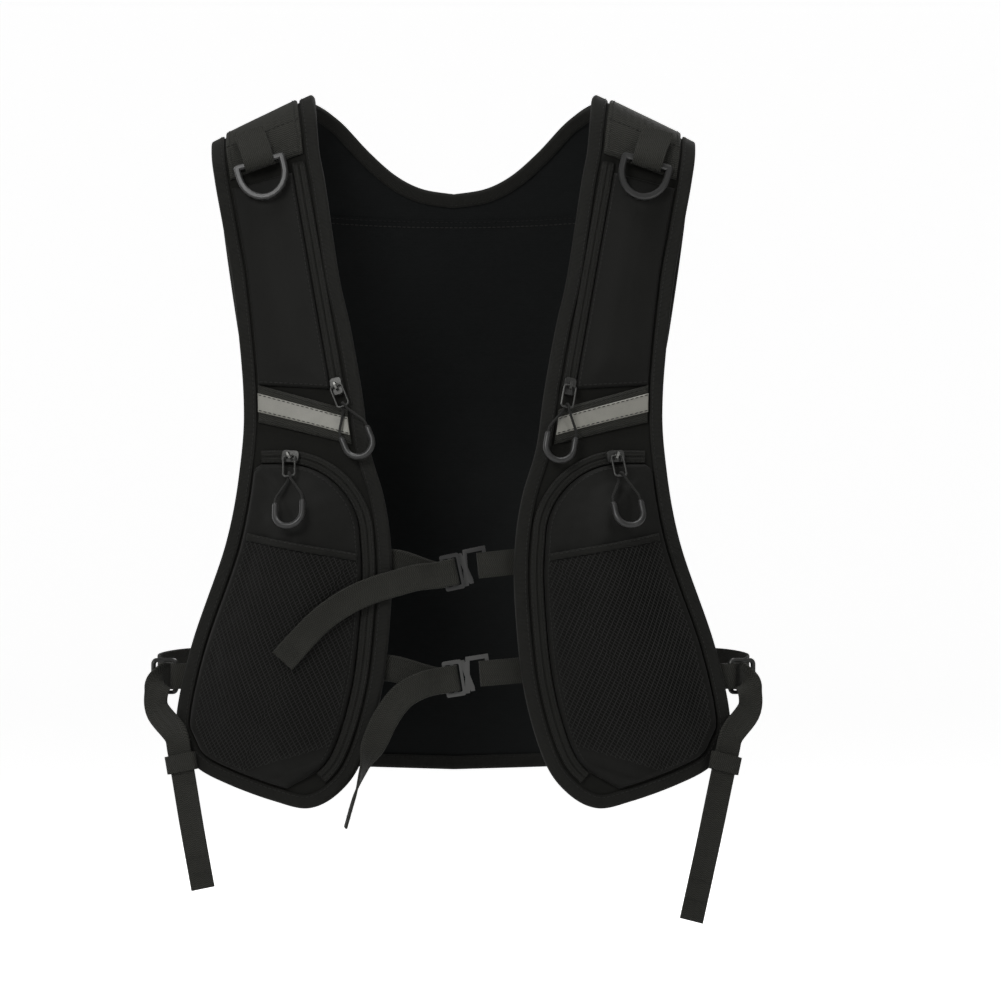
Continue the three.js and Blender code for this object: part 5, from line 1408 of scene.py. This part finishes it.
def hairpin():
    radius = BUCKLE_THICK / 2 + STRAP_PLAY + STRAP_THICK / 2
    centre = BUCKLE_BAR / 2 + BUCKLE_SLOT / 2 - radius
    bend = [(centre + radius * math.cos(a), radius * math.sin(a)) for a in math.pi * (evenly(6) - 0.5)]
    end = -BUCKLE_LENGTH / 2 - 3
    return [(end, -radius), (-3, -radius)] + bend + [(-3, radius), (end, radius)]


def chest_strap(name, anchor, buckle, tilt, tail, edge_on):
    edge = edge_at_level(anchor)
    depth = front_place(edge[0], edge[1], 0)[1]
    upright = frame_of(np.array([buckle[0], depth, buckle[1]]), UP, np.array([0.0, -1.0, 0.0]))
    frame4 = turn_z(upright, math.radians(tilt))
    behind = -BEHIND_BINDING - STRAP_THICK / 2
    stations = [(front_place(-edge[0] - x, edge[1], behind), UP) for x in (14, 6, -3)]
    stations += [(place3(frame4, x, 0, z), frame4[:3, 1]) for x, z in hairpin()]
    before = buckle
    for i, (x, z) in enumerate(tail):
        run = unit([x - before[0], z - before[1]])
        draped = []
        for share in (-1, 0, 1):
            side_x, side_z = x + share * run[1] * STRAP_WIDTH / 2, z - share * run[0] * STRAP_WIDTH / 2
            p = front_at(abs(side_x), side_z)
            draped.append(front_place(side_x, p[1], front_top(p) + TAIL_LIFT + STRAP_THICK / 2))
        low, middle, high = draped
        at = middle.copy()
        at[1] = min(middle[1], (low[1] + high[1]) / 2)
        twist = float(smoothstep(i, 2, len(tail) - 2)) if edge_on else 0.0
        across = unit(high - low) * (1 - twist) + np.array([0.1, -0.98, 0.1]) * twist
        stations.append((at, unit(across)))
        before = (x, z)
    body = f"{name}_chest"
    route, across, face = ribbon(f"{name}_chest_ribbon", f"{name}_chest_strap", stations, body)
    cross_stitches(f"{name}_strap_end", body, route, across, face, len(route) - 6, rows=(0, 2))


chest_strap("upper", -246, (-0.5, -252), 12, UPPER_TAIL, False)
chest_strap("lower", -306, (0.5, -312), 9, LOWER_TAIL, True)
print("chest straps sewn on")

# %% Side straps
SIDE_LEVEL, SIDE_RING_OUT, SIDE_OUT, BACK_STRAP_SEWN = -309, 8.0, 168.0, 127
SIDE_RING_WIDTH, SIDE_RING_STOCK = 17.0, 2.4
KEEPER_LENGTH, KEEPER_HEIGHT, KEEPER_AT = 10.0, 9.5, (149.5, -360)
SIDE_TAIL_END = {"left": (135.5, -431), "right": (128, -449)}


def frame_at(hand, x, pattern_y, height, turn=0.0):
    at = front_place(hand * x, pattern_y, height)
    out = front_out(hand * x, pattern_y)
    up = at - front_place(hand * x, pattern_y + 1, height)
    across = unit(np.cross(up, out))
    frame4 = np.eye(4)
    frame4[:3, 0], frame4[:3, 1], frame4[:3, 2], frame4[:3, 3] = across, np.cross(out, across), out, at
    return turn_z(frame4, turn)


def side_strap(hand, side):
    edge = stretch(OUTLINE[HEM_MIDDLE:][::-1], SIDE_LEVEL, -9999, [0])[0]
    at_edge = front_place(hand * edge[0], edge[1], -BEHIND_BINDING - STRAP_THICK)
    frame4 = frame_of(at_edge, UP, front_out(hand * edge[0], edge[1]))
    bar = place3(frame4, hand * SIDE_RING_OUT, 0, 0)
    away, facing = hand * frame4[:3, 0], frame4[:3, 2]
    through = bar + away * (SIDE_RING_WIDTH / 2 - SIDE_RING_STOCK / 2)
    back_edge = back_at(BACK_STRAP_SEWN, SIDE_LEVEL + 6)
    behind = BACK_THICK + BEHIND_BINDING + STRAP_THICK
    low = front_at(*KEEPER_AT)
    end = SIDE_TAIL_END[side]
    lean = math.atan2(end[0] - KEEPER_AT[0], KEEPER_AT[1] - end[1])
    keeper = frame_at(hand, low[0], low[1], KEEPER_HEIGHT, hand * lean)
    square = hand * keeper[:3, 0]
    reach = math.hypot(end[0] - KEEPER_AT[0], end[1] - KEEPER_AT[1])

    def passing(ahead, drop):
        return through + facing * ahead + np.array([0, 0, float(drop)])

    stations = [
        (front_place(hand * (back_edge[0] - 12), back_edge[1], behind, BACK), UP),
        (front_place(hand * (back_edge[0] + 1), back_edge[1], behind, BACK), UP),
        (np.array([hand * SIDE_OUT * 0.93, 20, SIDE_LEVEL + 5]), UP),
        (np.array([hand * SIDE_OUT, -6, SIDE_LEVEL + 2]), UP),
        (passing(-10, 0), UP),
        (passing(-3, 0), UP),
        (passing(3, 0), UP),
        (passing(9, -7), UP + square),
        (passing(9.5, -18), square),
        (place3(keeper, 0, 16, 0.6), square),
        (place3(keeper, 0, KEEPER_LENGTH / 2 + 2, 0), square),
        (place3(keeper, 0, -KEEPER_LENGTH / 2 - 2, 0), square),
        (place3(keeper, 0, -reach / 2, 0.5), square),
        (place3(keeper, 0, -reach, 0), square),
    ]
    route, across, face = ribbon(f"{side}_side_ribbon", f"{side}_side_strap", stations, ROOT)
    cross_stitches(f"{side}_strap_end", ROOT, route, across, face, len(route) - 5, rows=(0, 2))


for side, hand in SIDES:
    side_strap(hand, side)
print("straps finished")

# %% [markdown]
# ## Loops and hard parts
# The webbing loops, buckles, sliders and rings are fine copies of their CAD solids. Their flat faces
# are joined and every sharp edge is rounded with a small bevel.

# %% Refined copies
def refined(node, name, bevel, material, segments=3):
    source = bpy.data.objects[node]
    mesh = source.data.copy()
    mesh.name = name
    work = bmesh.new()
    work.from_mesh(mesh)
    work.transform(source.matrix_world)
    bmesh.ops.remove_doubles(work, verts=work.verts, dist=0.00002)
    bmesh.ops.dissolve_limit(work, angle_limit=math.radians(3), verts=work.verts, edges=work.edges)
    sharp = [e for e in work.edges if len(e.link_faces) == 2 and e.calc_face_angle() > math.radians(38)]
    bmesh.ops.bevel(work, geom=sharp, offset=bevel * MM, offset_type="OFFSET", segments=segments, profile=0.6,
                    affect="EDGES", clamp_overlap=True)
    bmesh.ops.recalc_face_normals(work, faces=work.faces)
    work.to_mesh(mesh)
    work.free()
    mesh.shade_smooth()
    mesh.set_sharp_from_angle(angle=math.radians(50))
    layer = mesh.attributes.new("cloth", "FLOAT_VECTOR", "POINT")
    places = np.zeros(len(mesh.vertices) * 3, np.float32)
    mesh.vertices.foreach_get("co", places)
    places = places.reshape(-1, 3) / MM
    layer.data.foreach_set("vector", np.stack([places[:, 2], places[:, 0], places[:, 1]], -1).ravel())
    mesh.materials.clear()
    mesh.materials.append(material)
    piece = bpy.data.objects.new(name, mesh)
    scene.collection.objects.link(piece)
    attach(piece, body_of(source)[0])
    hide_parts(node)
    return piece


for side, hand in SIDES:
    refined(f"{side}_dring_tab", f"{side}_dring_web", 0.4, WEBBING)
    refined(f"{side}_side_tab", f"{side}_side_web", 0.35, WEBBING)
    refined(f"{side}_tail_keeper", f"{side}_keeper_web", 0.35, WEBBING)
    refined(f"{side}_shoulder_dring", f"{side}_dring_cast", 0.9, PLASTIC)
    refined(f"{side}_side_ring", f"{side}_side_ring_cast", 0.6, GUNMETAL)
    for zip_name in ("strap", "pocket"):
        refined(f"{side}_{zip_name}_slider", f"{side}_{zip_name}_slider_cast", 0.3, GUNMETAL)
for strap in ("upper", "lower"):
    refined(f"{strap}_chest_buckle", f"{strap}_buckle_cast", 0.45, PLASTIC)
    refined(f"{strap}_chest_loop", f"{strap}_loop_web", 0.35, WEBBING)
print("hard parts finished")

# %% [markdown]
# ## Zip pulls
# Each zip pull is a bent wire ring, a braided cord looped through it, and a tubular grip that joins
# the cord's two ends. A pull hangs from a pin in its slider and rests clear of the cloth below.

# %% Pulls
SLIDER_PLATE, SLIDER_LIFT, ARCH_LIFT, PIN_HOLE = 2.2, 0.7, 0.5, 2.6
PIN_HEIGHT = SLIDER_LIFT + SLIDER_PLATE + ARCH_LIFT + PIN_HOLE / 2
WIRE, RING_WIDTH, RING_LENGTH = 1.2, 8.0, 14.0
CORD_DIAMETER, CORD_LENGTH = 1.6, 16.0
GRIP_DIAMETER, GRIP_HALF, GRIP_LEG = 3.5, 8.0, 7.0
PULL_LEAN = {"left_strap": 22, "right_strap": -10, "left_pocket": 0, "right_pocket": 12}
PULL_CLEAR = 3.0
SLIDER_START = math.radians(5)
TAPE_TOP = LAYER_LOW + TAPE_THICK
print("pin above its zip tape:", round(PIN_HEIGHT, 2), "mm")

# %% Tubes
def tube(name, node, route, radius, material, body, closed=False, sides=12, braid=0.0):
    """A round bar along a route. Braid is how far its strands stand out."""
    route = np.asarray(route, float)
    if closed:
        along = np.roll(route, -1, axis=0) - np.roll(route, 1, axis=0)
    else:
        along = np.gradient(route, axis=0)
    along /= np.linalg.norm(along, axis=1, keepdims=True)
    normals = [unit(np.cross(along[0], [0.31, 0.9, 0.2]))]
    for step in along[1:]:
        kept = normals[-1] - step * np.dot(normals[-1], step)
        normals.append(unit(kept))
    normals = np.array(normals)
    others = np.cross(along, normals)
    lengths = distances(route)
    radius = np.broadcast_to(radius, (len(route),))
    rings, cloth = [], []
    for k in range(sides):
        angle = k / sides * math.tau
        strands = np.abs(np.sin(2 * angle + lengths * 1.9)) * np.abs(np.sin(2 * angle - lengths * 1.9))
        reach = radius * (1 - braid + braid * strands)
        over, aside = reach * math.cos(angle), reach * math.sin(angle)
        rings.append(route + normals * over[:, None] + others * aside[:, None])
        cloth.append(np.stack([np.full(len(route), angle * float(radius.max())), lengths], -1))
    piece = sweep(name, np.stack(rings, 1), material, np.stack(cloth, 1), closed)
    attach(piece, body)
    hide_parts(node)
    return piece


print("tube helper ready")

# %% How a pull hangs
def hang_from(pin, out, lean_degrees):
    lean = math.radians(lean_degrees)
    slope = 0.0
    for reach in (12, 18, 24, 30, 36, 42, 48):
        half = GRIP_HALF if reach > RING_LENGTH * 2 else RING_WIDTH / 2
        for aside in (-half, 0, half):
            x = pin[0] + reach * math.sin(lean) + aside * math.cos(lean)
            z = pin[2] - reach * math.cos(lean) + aside * math.sin(lean)
            under = front_at(abs(x), z)
            clear = front_place(x, under[1], front_top(under) + PULL_CLEAR)
            slope = max(slope, (pin[1] - clear[1]) / reach)
    return frame_of(pin, np.array([-math.sin(lean), slope, math.cos(lean)]), out)


def in_frame(frame4, points):
    return np.asarray(points, float) @ frame4[:3, :3].T + frame4[:3, 3]


print("hanging helpers ready")

# %% One pull
def make_pull(name, frame4):
    body = name
    half, low = RING_WIDTH / 2 - WIRE / 2, -(RING_LENGTH - WIRE)
    bend = 1.6
    ring = []
    for cx, cy, start in ((half, 0, 90), (half, low, 0), (-half, low, -90), (-half, 0, -180)):
        centre = (cx - math.copysign(bend, cx), cy - bend if cy == 0 else cy + bend)
        for turned in np.linspace(0, 90, 9):
            angle = math.radians(start - turned)
            ring.append((centre[0] + bend * math.cos(angle), centre[1] + bend * math.sin(angle), 0))
    tube(f"{name}_wire", f"{name}_ring", in_frame(frame4, ring), WIRE / 2, GUNMETAL, body,
         closed=True)
    clear = WIRE / 2 + CORD_DIAMETER / 2 + 0.5
    end = low - CORD_LENGTH
    half_loop = [(0, low + clear, 0), (0.8, low + 0.3, clear), (1.5, low - 2.2, clear + 0.1),
                 (4.8, low - 8, 0.9), (GRIP_HALF - 0.4, end + 3, 0.1), (GRIP_HALF, end, 0)]
    loop = [(-x, y, -z) for x, y, z in half_loop[:0:-1]] + half_loop
    route = curve_through(in_frame(frame4, loop), 14)
    tube(f"{name}_braid", f"{name}_cord", route, CORD_DIAMETER / 2, CORD, body, sides=16, braid=0.22)
    leg_top = end - 0.4
    legs = [(-GRIP_HALF, leg_top - k * GRIP_LEG / 5, 0) for k in range(5)]
    leg_end = leg_top - GRIP_LEG
    bow = [(GRIP_HALF * math.cos(math.pi * (1 + t)), leg_end + GRIP_HALF * math.sin(math.pi * (1 + t)), 0)
           for t in evenly(24)]
    grip = in_frame(frame4, legs + bow + [(-x, y, z) for x, y, z in legs[::-1]])
    thick = np.full(len(grip), GRIP_DIAMETER / 2)
    thick[[0, -1]] *= 0.8
    tube(f"{name}_handle", f"{name}_grip", grip, thick, PLASTIC, body, sides=20)


print("pull helper ready")

# %% The four pulls
def strap_pull(hand, side):
    end, top = strap_zip[-1], strap_zip[0]
    at = front_place(hand * end[0], end[1], TAPE_TOP)
    high = front_place(hand * top[0], top[1], TAPE_TOP)
    frame4 = frame_of(at, high - at, front_out(hand * end[0], end[1]))
    pin = place3(frame4, 0, 0, PIN_HEIGHT)
    make_pull(f"{side}_strap_pull", hang_from(pin, frame4[:3, 2], PULL_LEAN[f"{side}_strap"]))


def pocket_pull(hand, side):
    def on_zip(angle):
        x = corner_centre[0] - POCKET_CORNER * math.sin(angle)
        pattern_y = corner_centre[1] - POCKET_CORNER * math.cos(angle)
        return front_place(hand * x, pattern_y, TAPE_TOP), front_out(hand * x, pattern_y)

    at, out = on_zip(SLIDER_START)
    ahead = on_zip(SLIDER_START + 0.01)[0] - on_zip(SLIDER_START - 0.01)[0]
    frame4 = frame_of(at, ahead, out)
    pin = place3(frame4, 0, 0, PIN_HEIGHT)
    make_pull(f"{side}_pocket_pull", hang_from(pin, out, PULL_LEAN[f"{side}_pocket"]))


for side, hand in SIDES:
    strap_pull(hand, side)
    pocket_pull(hand, side)
print("pulls finished")

# %% Finish
for side, seam in seams.items():
    seam.finish(f"{side}_stitching", ROOT, "panel_cloth")
